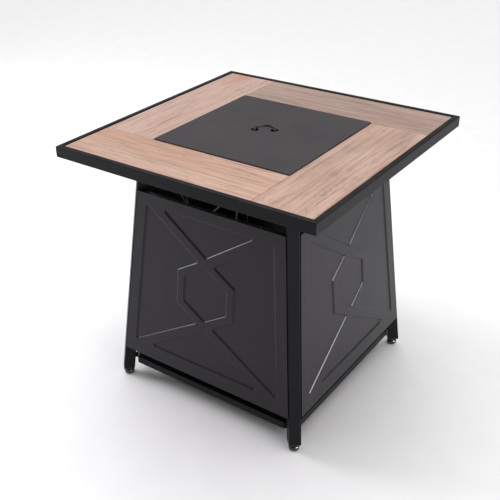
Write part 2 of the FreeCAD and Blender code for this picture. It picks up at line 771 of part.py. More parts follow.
def top_frame():
    """Welded ring of square tube with a gusset in each corner."""
    outer = FRAME_OUTER / 2
    inner = outer - FRAME_TUBE
    w = FRAME_WALL
    top = BOSS_BOTTOM
    ring = slab(outer, FRAME_BOTTOM, top).cut(slab(inner, FRAME_BOTTOM - OVER, top + OVER))
    core = slab(outer - w, FRAME_BOTTOM + w, top - w).cut(slab(inner + w, FRAME_BOTTOM, top))
    bolt = leg_bolt_point()
    near = (bolt.Length - PLATE_MARGIN) * ROOT2 - inner
    corner = [V(-inner, -inner, 0), V(-near, -inner, 0), V(-inner, -near, 0)]
    gusset = prism([p + Z * FRAME_BOTTOM for p in corner], Z * LEG_PLATE)
    low = bolt + Z * (FRAME_BOTTOM - OVER)
    gusset = gusset.cut(rod(low, bolt + Z * top, LEG_BOLT_RADIUS + HOLE_CLEAR))
    holes = [
        rod(p + Z * (FRAME_BOTTOM - OVER), p + Z * (top + OVER), TOP_BOLT_RADIUS + HOLE_CLEAR)
        for p in frame_bolt_points()
    ]
    body = ring.cut(core).cut(holes)
    return fused([body] + [turned(gusset, i) for i in range(4)])


def tabletop_bolts():
    bolts = []
    for p in frame_bolt_points():
        shank = rod(p + Z * FRAME_BOTTOM, p + Z * (DECK_BOTTOM - TOP_BOLT_SHORT), TOP_BOLT_RADIUS)
        head = rod(p + Z * (FRAME_BOTTOM - TOP_BOLT_HEAD), p + Z * FRAME_BOTTOM, TOP_BOLT_HEAD_RADIUS)
        bolts.append(head.fuse(shank))
    return Part.makeCompound(bolts)


def leg_bolts():
    """A bolt and nut at each leg, through the leg's plate and the frame's gusset."""
    p = leg_bolt_point()
    gusset_top = p + Z * (FRAME_BOTTOM + LEG_PLATE)
    under = p + Z * LEG_TOP
    head = hexagon_prism(under, X, Y, LEG_BOLT_HEX, Z * -LEG_BOLT_HEAD)
    nut = hexagon_prism(gusset_top, X, Y, LEG_BOLT_HEX, Z * LEG_NUT)
    bolt = fused([head, rod(under, gusset_top + Z * LEG_BOLT_OUT, LEG_BOLT_RADIUS), nut])
    return Part.makeCompound([turned(bolt, i) for i in range(4)])


# ---- legs and feet ------------------------------------------------------------------------


def leg_section(z, side, corner):
    """The front-left leg's square section at height z, turned 45 degrees, as a face."""
    middle = -(leg_face(z) - LEG_OFFSET)
    half = side / 2
    square = Part.makePlane(side, side, V(-half, -half, 0))
    wire = square.OuterWire
    if corner > 0:
        solid = square.extrude(Z)
        solid = filleted(solid, corner, upright_edge)
        wire = [f for f in solid.Faces if abs(f.CenterOfMass.z) < NEAR][0].OuterWire
    face = Part.Face(wire)
    face.rotate(V(), Z, 45)
    face.translate(V(middle, middle, z))
    return face


def leg_length(z0, z1):
    """The way the front-left leg runs between two heights."""
    return V(LEAN, LEAN, 1) * (z1 - z0)


def side_face_point(z, along):
    """On the front-left leg's face towards the front panel, that far in from its outer corner."""
    corner = V(-(leg_face(z) - LEG_OFFSET), -(leg_face(z) + LEG_OFFSET), z)
    return corner + V(1, 1, 0) * (along / ROOT2)


def screw_heights():
    return (PANEL_BOTTOM + SCREW_FROM_END, PANEL_TOP - SCREW_FROM_END)


def front_rods(inward, outward, radius):
    """Rods square to the front-left leg's side face, at the front panel's screws."""
    rods = []
    for z in screw_heights():
        middle = side_face_point(z, SCREW_ALONG)
        rods.append(rod(middle - FROM_LEG * inward, middle + FROM_LEG * outward, radius))
    return rods


def front_bosses():
    """Stand-offs on the front-left leg, which the front panel's flange is screwed to."""
    return front_rods(LEG_WALL / 2, SIDE_GAP, BOSS_RADIUS_LEG)


def front_bores():
    return front_rods(LEG_WALL * 2, SIDE_GAP + 2 * PANEL_SHEET, SCREW_RADIUS + HOLE_CLEAR)


def leg(quarter, front_screws, left_screws):
    """A leg: leaning square tube, top plate, screw bosses and the tray's spacer."""
    tube = leg_section(LEG_BOTTOM, LEG_SIDE, LEG_CORNER).extrude(leg_length(LEG_BOTTOM, LEG_TOP))
    bore = leg_section(LEG_BOTTOM - OVER, LEG_SIDE - 2 * LEG_WALL, LEG_CORNER - LEG_WALL)
    bore = bore.extrude(leg_length(LEG_BOTTOM - OVER, LEG_TOP + OVER))
    p = leg_bolt_point()
    tip = leg_face(LEG_TOP) * ROOT2 + PLATE_LIP
    tail = p.Length - PLATE_MARGIN
    half = LEG_SIDE / 2 + PLATE_LIP
    plate = box(-tip, -tail, -half, half, LEG_TOP, FRAME_BOTTOM)
    plate.rotate(V(), Z, 45)
    low, high = p + Z * (LEG_TOP - OVER), p + Z * (FRAME_BOTTOM + OVER)
    plate = plate.cut(rod(low, high, LEG_BOLT_RADIUS + HOLE_CLEAR))
    level = Z * TRAY_BOLT_LEVEL
    wall_inside = leg_face(TRAY_BOLT_LEVEL) * ROOT2 - LEG_SIDE + LEG_WALL
    spacer = rod(level - DIAGONAL * TRAY_CORNER, level - DIAGONAL * wall_inside, SPACER_RADIUS)
    near, far = TRAY_CORNER - OVER, wall_inside + LEG_WALL + OVER
    holes = [rod(level - DIAGONAL * near, level - DIAGONAL * far, TRAY_BOLT_RADIUS + HOLE_CLEAR)]
    solids = [tube.cut(bore), plate, spacer]
    if front_screws:
        solids += front_bosses()
        holes += front_bores()
    if left_screws:
        solids += [swapped(b) for b in front_bosses()]
        holes += [swapped(b) for b in front_bores()]
    return turned(fused(solids).cut(holes), quarter)


def foot_centre():
    """Where the front-left foot's stud stands."""
    return -(leg_face(FOOT_HEIGHT) - LEG_OFFSET)


def foot_inserts():
    """Plugs pressed into the legs' lower ends, each threaded for a foot."""
    lip = leg_section(FOOT_HEIGHT, LEG_SIDE, LEG_CORNER).extrude(leg_length(FOOT_HEIGHT, LEG_BOTTOM))
    side = LEG_SIDE - 2 * LEG_WALL - 2 * INSERT_CLEAR
    top = LEG_BOTTOM + INSERT_DEPTH
    plug = leg_section(LEG_BOTTOM, side, LEG_CORNER - LEG_WALL).extrude(leg_length(LEG_BOTTOM, top))
    c = foot_centre()
    bore = rod(V(c, c, FOOT_HEIGHT - OVER), V(c, c, top + OVER), STUD_RADIUS + STUD_CLEAR)
    insert = fused([lip, plug]).cut(bore)
    return Part.makeCompound([turned(insert, i) for i in range(4)])


def foot(quarter):
    """Levelling glide: a domed pad on a threaded stud."""
    flat = FOOT_RADIUS - FOOT_ROUND
    shoulder = FOOT_RADIUS - FOOT_NECK_RADIUS
    side_top = FOOT_PAD - shoulder
    stud_top = LEG_BOTTOM + INSERT_DEPTH + FOOT_TRAVEL
    low, side = V(flat, 0, 0), V(FOOT_RADIUS, 0, FOOT_ROUND)
    high, neck = V(FOOT_RADIUS, 0, side_top), V(FOOT_NECK_RADIUS, 0, FOOT_PAD)
    edges = [
        Part.LineSegment(V(), low).toShape(),
        quarter_bend(low, V(flat, 0, FOOT_ROUND), side, FOOT_ROUND),
        Part.LineSegment(side, high).toShape(),
        quarter_bend(high, V(FOOT_NECK_RADIUS, 0, side_top), neck, shoulder),
    ]
    corners = [
        neck,
        V(FOOT_NECK_RADIUS, 0, FOOT_HEIGHT),
        V(STUD_RADIUS, 0, FOOT_HEIGHT),
        V(STUD_RADIUS, 0, stud_top),
        V(0, 0, stud_top),
        V(),
    ]
    for start, end in zip(corners, corners[1:]):
        edges.append(Part.LineSegment(start, end).toShape())
    body = Part.Face(Part.Wire(edges)).revolve(V(), Z, 360)
    body.translate(V(foot_centre(), foot_centre(), 0))
    return turned(body, quarter)


# ---- side panels --------------------------------------------------------------------------


def slope(z):
    """Distance up the panel's face from floor level to height z."""
    return z / math.cos(LEAN_ANGLE)


def panel_half(z):
    """Half the panel's width at height z."""
    return leg_face(z) - LEG_OFFSET - PANEL_GAP


def panel_outline(side, below, above):
    """The panel's outline, drawn in by those margins, as points in the XZ plane."""
    z0, z1 = PANEL_BOTTOM + below, PANEL_TOP - above
    h0, h1 = panel_half(z0) - side, panel_half(z1) - side
    return [V(-h0, 0, slope(z0)), V(h0, 0, slope(z0)), V(h1, 0, slope(z1)), V(-h1, 0, slope(z1))]


def strip(start, end, width):
    """A straight band from one point of the XZ plane to well past another, through the panel."""
    along = end - start
    along.normalize()
    across = V(-along.z, 0, along.x) * (width / 2)
    a = start - along * (width / 2)
    b = end + along * (width * 1.5)
    return through_panel((a - across, b - across, b + across, a + across))


def through_panel(points, extra=0):
    """A prism right through the panel, from an outline in the XZ plane."""
    reach = CUT_REACH + extra
    return prism([p - Y * reach for p in points], Y * (2 * reach))


def hexagon(margin):
    """The hexagon's corners in the XZ plane, grown by margin."""
    run = math.hypot(HEX_HALF_WIDTH, HEX_APEX - HEX_SHOULDER)
    tip = HEX_APEX + margin * run / HEX_HALF_WIDTH
    wide = HEX_HALF_WIDTH + margin
    shoulder = tip - wide * (HEX_APEX - HEX_SHOULDER) / HEX_HALF_WIDTH
    right = [(0, tip), (wide, shoulder), (wide, -shoulder)]
    left = [(-x, -z) for x, z in right]
    return [V(x, 0, slope(HEX_CENTRE + z)) for x, z in right + left]


def panel_bands():
    """The raised bands: four arms out to the corners, and a hexagon ring in the middle."""
    bands = []
    for tip, end in ((HEX_APEX, PANEL_TOP - BORDER_TOP), (-HEX_APEX, PANEL_BOTTOM + BORDER_BOTTOM)):
        start = V(0, 0, slope(HEX_CENTRE + tip))
        out = panel_half(end) - ARM_END_IN
        for side in (-1, 1):
            bands.append(strip(start, V(side * out, 0, slope(end)), BAND))
    big = through_panel(hexagon(RING_BAND / 2))
    small = through_panel(hexagon(-RING_BAND / 2), OVER)
    return fused(bands + [big]).cut(small)


def recessed_fields():
    """The five sunk fields of a panel, as flat faces in the XZ plane."""
    inner = prism(panel_outline(BORDER_SIDE, BORDER_BOTTOM, BORDER_TOP), Y)
    left = inner.cut(panel_bands())
    faces = []
    for solid in left.Solids:
        faces += [f for f in solid.Faces if abs(f.CenterOfMass.y) < NEAR]
    return faces


def pocket(face):
    """A sunk field, with rounded corners and sloping walls."""
    core = face.makeOffset2D(-FIELD_CORNER, join=2)
    mouth = core.makeOffset2D(FIELD_CORNER + WALL_RUN / 2, join=0)
    floor = core.makeOffset2D(FIELD_CORNER - WALL_RUN / 2, join=0)
    floor.translate(Y * RECESS)
    return Part.makeLoft([mouth.OuterWire, floor.OuterWire], True, True)


def panel_plate():
    """The pressed sheet, standing in the XZ plane with its front at y = 0."""
    full = prism(panel_outline(0, 0, 0), Y * (RECESS + PANEL_SHEET))
    fields = recessed_fields()
    pockets = [pocket(face) for face in fields]
    margin = PANEL_SHEET + WALL_RUN / 2
    deep = RECESS + OVER
    grown = [face.makeOffset2D(margin, join=2).extrude(Y * (deep + OVER)) for face in fields]
    behind = prism(panel_outline(PANEL_SHEET, PANEL_SHEET, PANEL_SHEET), Y * deep).cut(grown)
    behind.translate(Y * PANEL_SHEET)
    return full.cut(pockets + [behind])


def stood(shape):
    """From the XZ plane to the front of the base, leaning in."""
    copy = shape.copy()
    copy.rotate(V(), X, -math.degrees(LEAN_ANGLE))
    copy.translate(V(0, -(LEG_FACE_AT_FLOOR + LEG_OFFSET), 0))
    return copy


def side_flange():
    """The front panel's left flange, folded back beside the leg."""
    z0, z1 = PANEL_BOTTOM, PANEL_TOP
    start = V(-panel_half(z0), -(leg_face(z0) + LEG_OFFSET), z0)
    back = V(1, 1, 0) * (SIDE_FLANGE / ROOT2)
    thick = X * (PANEL_SHEET * ROOT2)
    return prism([start, start + back, start + back + thick, start + thick], leg_length(z0, z1))


def panel_body():
    """A whole front panel, with returns above and below and a flange on each side."""
    bottom, top = slope(PANEL_BOTTOM), slope(PANEL_TOP)
    low, high = panel_half(PANEL_BOTTOM), panel_half(PANEL_TOP)
    returns = [
        box(-low, low, 0, PANEL_RETURN, bottom, bottom + PANEL_SHEET),
        box(-high, high, 0, PANEL_RETURN, top - PANEL_SHEET, top),
    ]
    sheet = stood(fused([panel_plate()] + returns))
    tip = 2 * LEG_OFFSET + PANEL_GAP
    far = LEG_FACE_AT_FLOOR * 1.5
    between = prism([V(0, -tip, 0), V(-far, -tip - far, 0), V(far, -tip - far, 0)], Z * TOP_HEIGHT)
    flange = side_flange()
    return fused([sheet.common(between), flange, flange.mirror(V(), X)])


def side_panel(body, quarter):
    """A fixed panel, with screw holes in its side flanges."""
    bores = front_bores()
    bores += [b.mirror(V(), X) for b in front_bores()]
    return turned(body.cut(bores), quarter)


def flange_screw(z):
    start = side_face_point(z, SCREW_ALONG) + FROM_LEG * (SIDE_GAP + PANEL_SHEET)
    head = rod(start, start + FROM_LEG * SCREW_HEAD, SCREW_HEAD_RADIUS)
    return head.fuse(rod(start, start - FROM_LEG * SCREW_LENGTH, SCREW_RADIUS))


def panel_screws(quarters):
    screws = []
    for quarter in quarters:
        for z in screw_heights():
            screw = flange_screw(z)
            screws.append(turned(screw, quarter))
            screws.append(turned(screw.mirror(V(), X), quarter))
    return Part.makeCompound(screws)


# ---- door hinges and catch, drawn at the front and turned to the back ---------------------

def hinge_axis(z):
    """The door's hinge line at height z: over the gap beside the leg, proud of the faces."""
    edge = V(-(leg_face(z) - LEG_OFFSET) + PANEL_GAP / 2, -(leg_face(z) + LEG_OFFSET), z)
    return edge + PANEL_OUT * (HINGE_RADIUS + HINGE_STANDOFF)


def hinge_levels():
    return (PANEL_BOTTOM + HINGE_FROM_END, PANEL_TOP - HINGE_FROM_END)


def knuckle(z, low, high):
    """Part of a hinge barrel, between two distances along it from its middle."""
    middle = hinge_axis(z)
    return rod(middle + UP_LEG * low, middle + UP_LEG * high, HINGE_RADIUS)


def knuckle_ends():
    third = HINGE_LENGTH / 6
    return third - KNUCKLE_GAP / 2, third + KNUCKLE_GAP / 2, HINGE_LENGTH / 2


def leaf(z, along, out, low, high, start, drop):
    """A flat leaf from the barrel: along one way, with its back at that drop below the axis."""
    near = hinge_axis(z) + UP_LEG * low + along * start + out * drop
    far = near + along * (HINGE_LEAF - start)
    thick = out * HINGE_LEAF_THICK
    return prism([near, far, far + thick, near + thick], UP_LEG * (high - low))


def door_hinge_leaves():
    """The door's half of each hinge: the middle knuckle and a leaf on the door's face."""
    inner, _, _ = knuckle_ends()
    halves = []
    for z in hinge_levels():
        reach = UP_LEG * HINGE_LENGTH
        pin = rod(hinge_axis(z) - reach, hinge_axis(z) + reach, HINGE_PIN_RADIUS + PIVOT_CLEAR)
        plate = leaf(z, PANEL_ALONG, PANEL_OUT, -inner, inner, 0, -(HINGE_RADIUS + HINGE_STANDOFF))
        halves.append(knuckle(z, -inner, inner).fuse(plate).cut(pin))
    return turned(Part.makeCompound(halves), DOOR_SIDE)


def leg_hinge_leaves():
    """The leg's half of each hinge: two knuckles on bent leaves, with the pin fixed in them."""
    _, outer, end = knuckle_ends()
    halves = []
    for z in hinge_levels():
        axis = hinge_axis(z)
        parts = [rod(axis - UP_LEG * end, axis + UP_LEG * end, HINGE_PIN_RADIUS)]
        for low, high in ((-end, -outer), (outer, end)):
            parts += [knuckle(z, low, high), bent_leaf(z, low, high)]
        halves.append(fused(parts))
    return turned(Part.makeCompound(halves), DOOR_SIDE)


def bent_leaf(z, low, high):
    """A leaf on the leg's outer face, with a web bent over to its knuckle."""
    axis = hinge_axis(z)
    edge = V(-(leg_face(z) - LEG_OFFSET), -(leg_face(z) + LEG_OFFSET), z)
    edge += UP_LEG * (axis - edge).dot(UP_LEG)
    thick = LEG_OUT * HINGE_LEAF_THICK
    near = edge + ALONG_FACE * LEG_CORNER
    far = edge + ALONG_FACE * HINGE_LEAF
    web = (near - axis).cross(UP_LEG).normalize() * (HINGE_LEAF_THICK / 2)
    shift = UP_LEG * low
    flat = [p + shift for p in (near, far, far + thick, near + thick)]
    bend = [p + shift for p in (near, near + thick, axis - web, axis + web)]
    return prism(flat, UP_LEG * (high - low)).fuse(prism(bend, UP_LEG * (high - low)))


def magnet_place(z):
    """On the leg's face beside the door's free edge, drawn at the front-left."""
    return side_face_point(z, SCREW_ALONG)


def door_magnet():
    """Magnet bar on the back-left leg, which the door's flange closes on."""
    z = PANEL_TOP - SCREW_FROM_END - MAGNET_LENGTH / 2
    start = magnet_place(z) - DIAGONAL * (MAGNET_WIDTH / 2)
    wide = DIAGONAL * MAGNET_WIDTH
    thick = FROM_LEG * (SIDE_GAP - MAGNET_CLEAR)
    bar = prism([start, start + wide, start + wide + thick, start + thick], leg_length(0, MAGNET_LENGTH))
    return turned(bar.mirror(V(), X), DOOR_SIDE)


# ---- bottom tray and cylinder seat --------------------------------------------------------


def tray_outline(inset):
    """The tray's plan: a square with its corners cut off to pass the legs."""
    h = TRAY_HALF - inset
    n = TRAY_HALF - TRAY_NOTCH - inset * (ROOT2 - 1)
    corner = [V(-h, -n, 0), V(-n, -h, 0)]
    return [FreeCAD.Rotation(Z, 90 * quarter).multVec(p) for quarter in range(4) for p in corner]


def bottom_tray():
    """Shallow tray with upturned walls, bolted to the legs at its cut corners."""
    low = TRAY_FLOOR_AT
    high = low + TRAY_WALL_HEIGHT
    outer = prism([p + Z * low for p in tray_outline(0)], Z * TRAY_WALL_HEIGHT)
    inner = prism([p + Z * (low + TRAY_SHEET) for p in tray_outline(TRAY_SHEET)], Z * TRAY_WALL_HEIGHT)
    vents = []
    for quarter in range(4):
        place = FreeCAD.Rotation(Z, 90 * quarter).multVec(V(VENT_AT, 0, 0))
        vents.append(rod(place + Z * (low - OVER), place + Z * high, VENT_RADIUS))
    level = Z * TRAY_BOLT_LEVEL
    near, far = TRAY_CORNER - TRAY_SHEET - OVER, TRAY_CORNER + OVER
    bolt = rod(level - DIAGONAL * near, level - DIAGONAL * far, TRAY_BOLT_RADIUS + HOLE_CLEAR)
    bolts = [turned(bolt, i) for i in range(4)]
    return outer.cut([inner] + vents + bolts)


def tray_bolts():
    """A hexagon bolt at each corner, from inside the tray into the leg."""
    start = Z * TRAY_BOLT_LEVEL - DIAGONAL * (TRAY_CORNER - TRAY_SHEET)
    head = hexagon_prism(start, ALONG_FACE, Z, TRAY_BOLT_HEX, DIAGONAL * TRAY_BOLT_HEAD)
    bolt = head.fuse(rod(start, start - DIAGONAL * TRAY_BOLT_LENGTH, TRAY_BOLT_RADIUS))
    return Part.makeCompound([turned(bolt, i) for i in range(4)])


def cylinder_seat():
    """Upright ring that the gas cylinder's foot stands in, with a block for the lock screw."""
    low = TRAY_FLOOR_AT + TRAY_SHEET
    high = low + SEAT_HEIGHT
    ring = rod(V(0, 0, low), V(0, 0, high), SEAT_RADIUS + SEAT_WALL)
    y0, y1 = SEAT_RADIUS + SEAT_WALL / 2, SEAT_RADIUS + LOCK_NUT
    block = box(-LOCK_BLOCK, LOCK_BLOCK, y0, y1, LOCK_LEVEL - LOCK_BLOCK, LOCK_LEVEL + LOCK_BLOCK)
    ring = ring.fuse(block).cut(rod(V(0, 0, low - OVER), V(0, 0, high + OVER), SEAT_RADIUS))
    bore = rod(V(0, y0 - SEAT_WALL, LOCK_LEVEL), V(0, y1 + OVER, LOCK_LEVEL), LOCK_RADIUS + STUD_CLEAR)
    return ring.cut(bore)


def cylinder_lock_screw():
    """Wing screw that bears on the cylinder's foot ring."""
    tip = V(0, SEAT_RADIUS - LOCK_PAST_RING, LOCK_LEVEL)
    back = V(0, SEAT_RADIUS + LOCK_NUT + LOCK_TRAVEL + LOCK_BACK, LOCK_LEVEL)
    shank = rod(tip, back, LOCK_RADIUS)
    collar = rod(back, back + Y * LOCK_COLLAR, LOCK_COLLAR_RADIUS)
    low = back - Z * (WING_THICK / 2)
    wings = [prism([low + V(side * x, y, 0) for x, y in WING], Z * WING_THICK) for side in (-1, 1)]
    return fused([shank, collar] + wings)


# ---- controls -----------------------------------------------------------------------------


def control_screw_points():
    points = []
    reach = CONTROL_WIDTH / 2 - CONTROL_SCREW_IN
    for y in (-reach, reach):
        points.append(V(CONTROL_X + (CONTROL_SHEET + CONTROL_FOLD) / 2, y, DECK_BOTTOM))
    return points


def control_panel():
    """Plate hung under the deck, with its top folded back."""
    x0 = CONTROL_X
    half = CONTROL_WIDTH / 2
    low = CONTROL_LEVEL - CONTROL_HEIGHT / 2
    face = box(x0, x0 + CONTROL_SHEET, -half, half, low, CONTROL_TOP)
    fold = box(x0, x0 + CONTROL_FOLD, -half, half, CONTROL_TOP - CONTROL_SHEET, CONTROL_TOP)
    lower = box(x0, x0 + CONTROL_RETURN, -half, half, low, low + CONTROL_SHEET)
    holes = []
    for y, radius in ((KNOB_AT, VALVE_NECK), (IGNITER_AT, IGNITER_RADIUS)):
        near, far = V(x0 - OVER, y, CONTROL_LEVEL), V(x0 + CONTROL_SHEET + OVER, y, CONTROL_LEVEL)
        holes.append(rod(near, far, radius + HOLE_CLEAR))
    for p in control_screw_points():
        holes.append(rod(p - Z * (CONTROL_SHEET + OVER), p + Z * OVER, SCREW_RADIUS + HOLE_CLEAR))
    return fused([face, fold, lower]).cut(holes)


def control_screws():
    screws = []
    for p in control_screw_points():
        start = p - Z * CONTROL_SHEET
        head = rod(start - Z * SCREW_HEAD, start, SCREW_HEAD_RADIUS)
        screws.append(head.fuse(rod(start, p + Z * SCREW_BITE, SCREW_RADIUS)))
    return Part.makeCompound(screws)


def gas_valve():
    """Brass tap behind the plate: neck, body, outlet, probe port and inlet boss."""
    x0 = CONTROL_X + CONTROL_SHEET
    x1 = x0 + VALVE_DEPTH
    y, z = KNOB_AT, CONTROL_LEVEL
    block = box(x0, x1, y - VALVE_HALF, y + VALVE_HALF, z - VALVE_HALF - VALVE_FOOT, z + VALVE_HALF)
    neck = rod(V(CONTROL_X - NECK_OUT, y, z), V(x0 + OVER, y, z), VALVE_NECK)
    outlet_end = V(x1 + OUTLET_LENGTH, y, PORT_LEVEL)
    outlet = rod(V(x1 - OVER, y, PORT_LEVEL), outlet_end, SUPPLY_RADIUS + OUTLET_WALL)
    port_end = probe_port_end()
    port = rod(port_end - X * (PROBE_PORT_LENGTH + OVER), port_end, LEAD_RADIUS + OUTLET_WALL)
    side = V(x0 + VALVE_DEPTH / 2, y + VALVE_HALF, z)
    inlet = rod(side - Y * OVER, side + Y * VALVE_BOSS, VALVE_BOSS_RADIUS)
    body = fused([block, neck, outlet, port, inlet])
    shaft_end = V(CONTROL_X + CONTROL_SHEET + STEM_IN + STEM_ROOM, y, z)
    return body.cut(rod(V(CONTROL_X - NECK_OUT - OVER, y, z), shaft_end, STEM_RADIUS + PIVOT_CLEAR))


def probe_port_end():
    """Where the flame probe's lead meets the tap."""
    x = CONTROL_X + CONTROL_SHEET + VALVE_DEPTH + PROBE_PORT_LENGTH
    return V(x, KNOB_AT - PROBE_PORT_SIDE, CONTROL_LEVEL + PROBE_PORT_UP)


def valve_inlet():
    """Flare fitting beside the tap, which the cylinder's hose screws to."""
    x = CONTROL_X + CONTROL_SHEET + VALVE_DEPTH / 2
    seat = V(x, KNOB_AT + VALVE_HALF + VALVE_BOSS, CONTROL_LEVEL)
    nut_end = seat + Y * INLET_NUT_LENGTH
    end = nut_end + Y * INLET_SPIGOT
    nut = hexagon_prism(seat, X, Z, INLET_NUT, Y * INLET_NUT_LENGTH)
    bore = rod(seat + Y * INLET_BLIND, end + Y * OVER, INLET_BORE)
    return nut.fuse(rod(nut_end, end, INLET_THREAD)).cut(bore)


def valve_stem():
    """Shaft of the tap, with a flat on its outer end."""
    y, z = KNOB_AT, CONTROL_LEVEL
    tip = CONTROL_X - STEM_OUT
    shaft = rod(V(tip, y, z), V(CONTROL_X + CONTROL_SHEET + STEM_IN, y, z), STEM_RADIUS)
    wide = STEM_RADIUS + OVER
    flat = box(tip - OVER, CONTROL_X - FLAT_FROM, y - wide, y + wide, z + FLAT_UP, z + wide)
    return shaft.cut(flat)


def control_knob():
    """Round knob with a grip bar, bored to slide on the stem's flatted end."""
    y, z = KNOB_AT, CONTROL_LEVEL
    back = CONTROL_X - KNOB_PUSH - KNOB_GAP
    front = back - KNOB_LENGTH
    step = back - KNOB_SKIRT
    skirt = rod(V(step, y, z), V(back, y, z), KNOB_RADIUS)
    skirt = filleted(skirt, SKIRT_EDGE, lambda edge: rim_edge(edge, step))
    crown = rod(V(front, y, z), V(step + OVER, y, z), KNOB_CROWN_RADIUS)
    crown = filleted(crown, CROWN_EDGE, lambda edge: rim_edge(edge, front))
    grip = box(front - GRIP_OUT, front + OVER, y - GRIP_HALF, y + GRIP_HALF, z - GRIP_REACH, z + GRIP_REACH)
    grip = filleted(grip, SKIRT_EDGE, lambda edge: edge.BoundBox.XLength > GRIP_OUT)
    knob = fused([skirt, crown, grip])
    deep = CONTROL_X - STEM_OUT - KNOB_PUSH - KNOB_CAP
    bore = rod(V(deep, y, z), V(back + OVER, y, z), STEM_RADIUS + PIVOT_CLEAR)
    key_end = CONTROL_X - FLAT_FROM - KNOB_PUSH - KEY_CLEAR
    wide = STEM_RADIUS + OVER
    key = box(deep, key_end, y - wide, y + wide, z + FLAT_UP + PIVOT_CLEAR, z + wide)
    return knob.cut(bore.cut(key))


def igniter_body():
    """Threaded barrel of the battery igniter, with a terminal at its back."""
    lip = V(CONTROL_X - IGNITER_LIP, IGNITER_AT, CONTROL_LEVEL)
    plate = V(CONTROL_X, IGNITER_AT, CONTROL_LEVEL)
    end = plate + X * IGNITER_DEPTH
    barrel = rod(lip, end, IGNITER_RADIUS)
    flange = rod(lip, plate, IGNITER_RADIUS + IGNITER_LIP)
    terminal = rod(end - X * OVER, end + X * TERMINAL_LENGTH, LEAD_RADIUS + TERMINAL_WALL)
    room = rod(lip - X * OVER, plate + X * BUTTON_ROOM, BUTTON_RADIUS + PIVOT_CLEAR)
    near, far = plate + X * (BUTTON_ROOM - OVER), cell_end() + X * CELL_END_GAP
    cell_room = rod(near, far, CELL_RADIUS + CELL_CLEAR)
    return fused([barrel, flange, terminal]).cut([room, cell_room])


def cell_end():
    """The far end of the igniter's dry cell, without its tip."""
    return V(CONTROL_X + IGNITER_DEPTH - IGNITER_LIP, IGNITER_AT, CONTROL_LEVEL)


def igniter_cell():
    """The small dry cell inside the igniter."""
    near = V(CONTROL_X + BUTTON_ROOM + OVER, IGNITER_AT, CONTROL_LEVEL)
    body = rod(near, cell_end(), CELL_RADIUS)
    return body.fuse(rod(cell_end(), cell_end() + X * CELL_END_GAP, CELL_TIP_RADIUS))


def igniter_button():
    """Push button that slides in the igniter's mouth."""
    y, z = IGNITER_AT, CONTROL_LEVEL
    front = CONTROL_X - IGNITER_LIP - BUTTON_TRAVEL - BUTTON_PROUD
    back = CONTROL_X + BUTTON_ROOM - BUTTON_TRAVEL - OVER
    button = rod(V(front, y, z), V(back, y, z), BUTTON_RADIUS)
    return filleted(button, BUTTON_EDGE, lambda edge: rim_edge(edge, front))


# ---- tubes and leads ----------------------------------------------------------------------


def rounded_route(points):
    """Straight runs joined by arcs as large as their two runs allow, as one wire."""
    radii = []
    edges = []
    start = points[0]
    for before, corner, after in zip(points, points[1:], points[2:]):
        back = before - corner
        on = after - corner
        shorter = min(back.Length, on.Length)
        back.normalize()
        on.normalize()
        turn = math.pi - back.getAngle(on)
        trim = ARC_SHARE * shorter
        radius = trim / math.tan(turn / 2)
        radii.append(radius)
        middle = (back + on).normalize()
        near = corner + back * trim
        far = corner + on * trim
        reach = math.hypot(radius, trim) - radius
        edges.append(Part.LineSegment(start, near).toShape())
        edges.append(Part.Arc(near, corner + middle * reach, far).toShape())
        start = far
    edges.append(Part.LineSegment(start, points[-1]).toShape())
    return Part.Wire(edges), radii


def tube_along(name, points, radius):
    """A solid round tube along a rounded route; prints its length and bends."""
    wire, radii = rounded_route(points)
    first = points[1] - points[0]
    circle = Part.Wire(Part.Circle(points[0], first, radius).toShape())
    tube = wire.makePipeShell([circle], True, False)
    share = tube.Volume / (math.pi * radius ** 2 * wire.Length)
    print(f"{name}: {wire.Length:.0f} mm, radii {[round(r) for r in radii]}, volume share {share:.4f}")
    return tube


def supply_tube():
    """Gas tube from the tap's outlet, under the bowl, to the burner's inlet."""
    start = V(CONTROL_X + CONTROL_SHEET + VALVE_DEPTH + OUTLET_LENGTH, KNOB_AT, PORT_LEVEL)
    inlet = side_port_mouth()
    points = [
        start,
        start + V(37, 0, 0),
        V(start.x + 51, KNOB_AT - 6, inlet.z + 18),
        V(start.x + 86, KNOB_AT / 2, inlet.z),
        inlet - V(64, 0, 0),
        inlet,
    ]
    return tube_along("supply_tube", points, SUPPLY_RADIUS)


def ignition_lead():
    """From the igniter's terminal down in a slack loop and up to the electrode."""
    start = V(CONTROL_X + IGNITER_DEPTH + TERMINAL_LENGTH, IGNITER_AT, CONTROL_LEVEL)
    end = V(ELECTRODE_X, PILOT_Y, BOWL_FLOOR - PROBE_DROP)
    points = [
        start,
        start + V(18, 0, 0),
        V(-184.5, -53, CONTROL_LEVEL - 8.3),
        V(-185, -74, CONTROL_LEVEL - 25.3),
        V(-184, -97, CONTROL_LEVEL - 46.3),
        V(-175, -121, CONTROL_LEVEL - 68.3),
        V(-160, -141, CONTROL_LEVEL - 88.3),
        V(-138, -150, CONTROL_LEVEL - 105.3),
        V(-113, -151, CONTROL_LEVEL - 118.3),
        V(-88, -150, CONTROL_LEVEL - 125.3),
        V(-62, -149, CONTROL_LEVEL - 118.3),
        V(-33, PILOT_Y, CONTROL_LEVEL - 93.3),
        end - V(0, 0, 29),
        end,
    ]
    return tube_along("ignition_lead", points, LEAD_RADIUS)


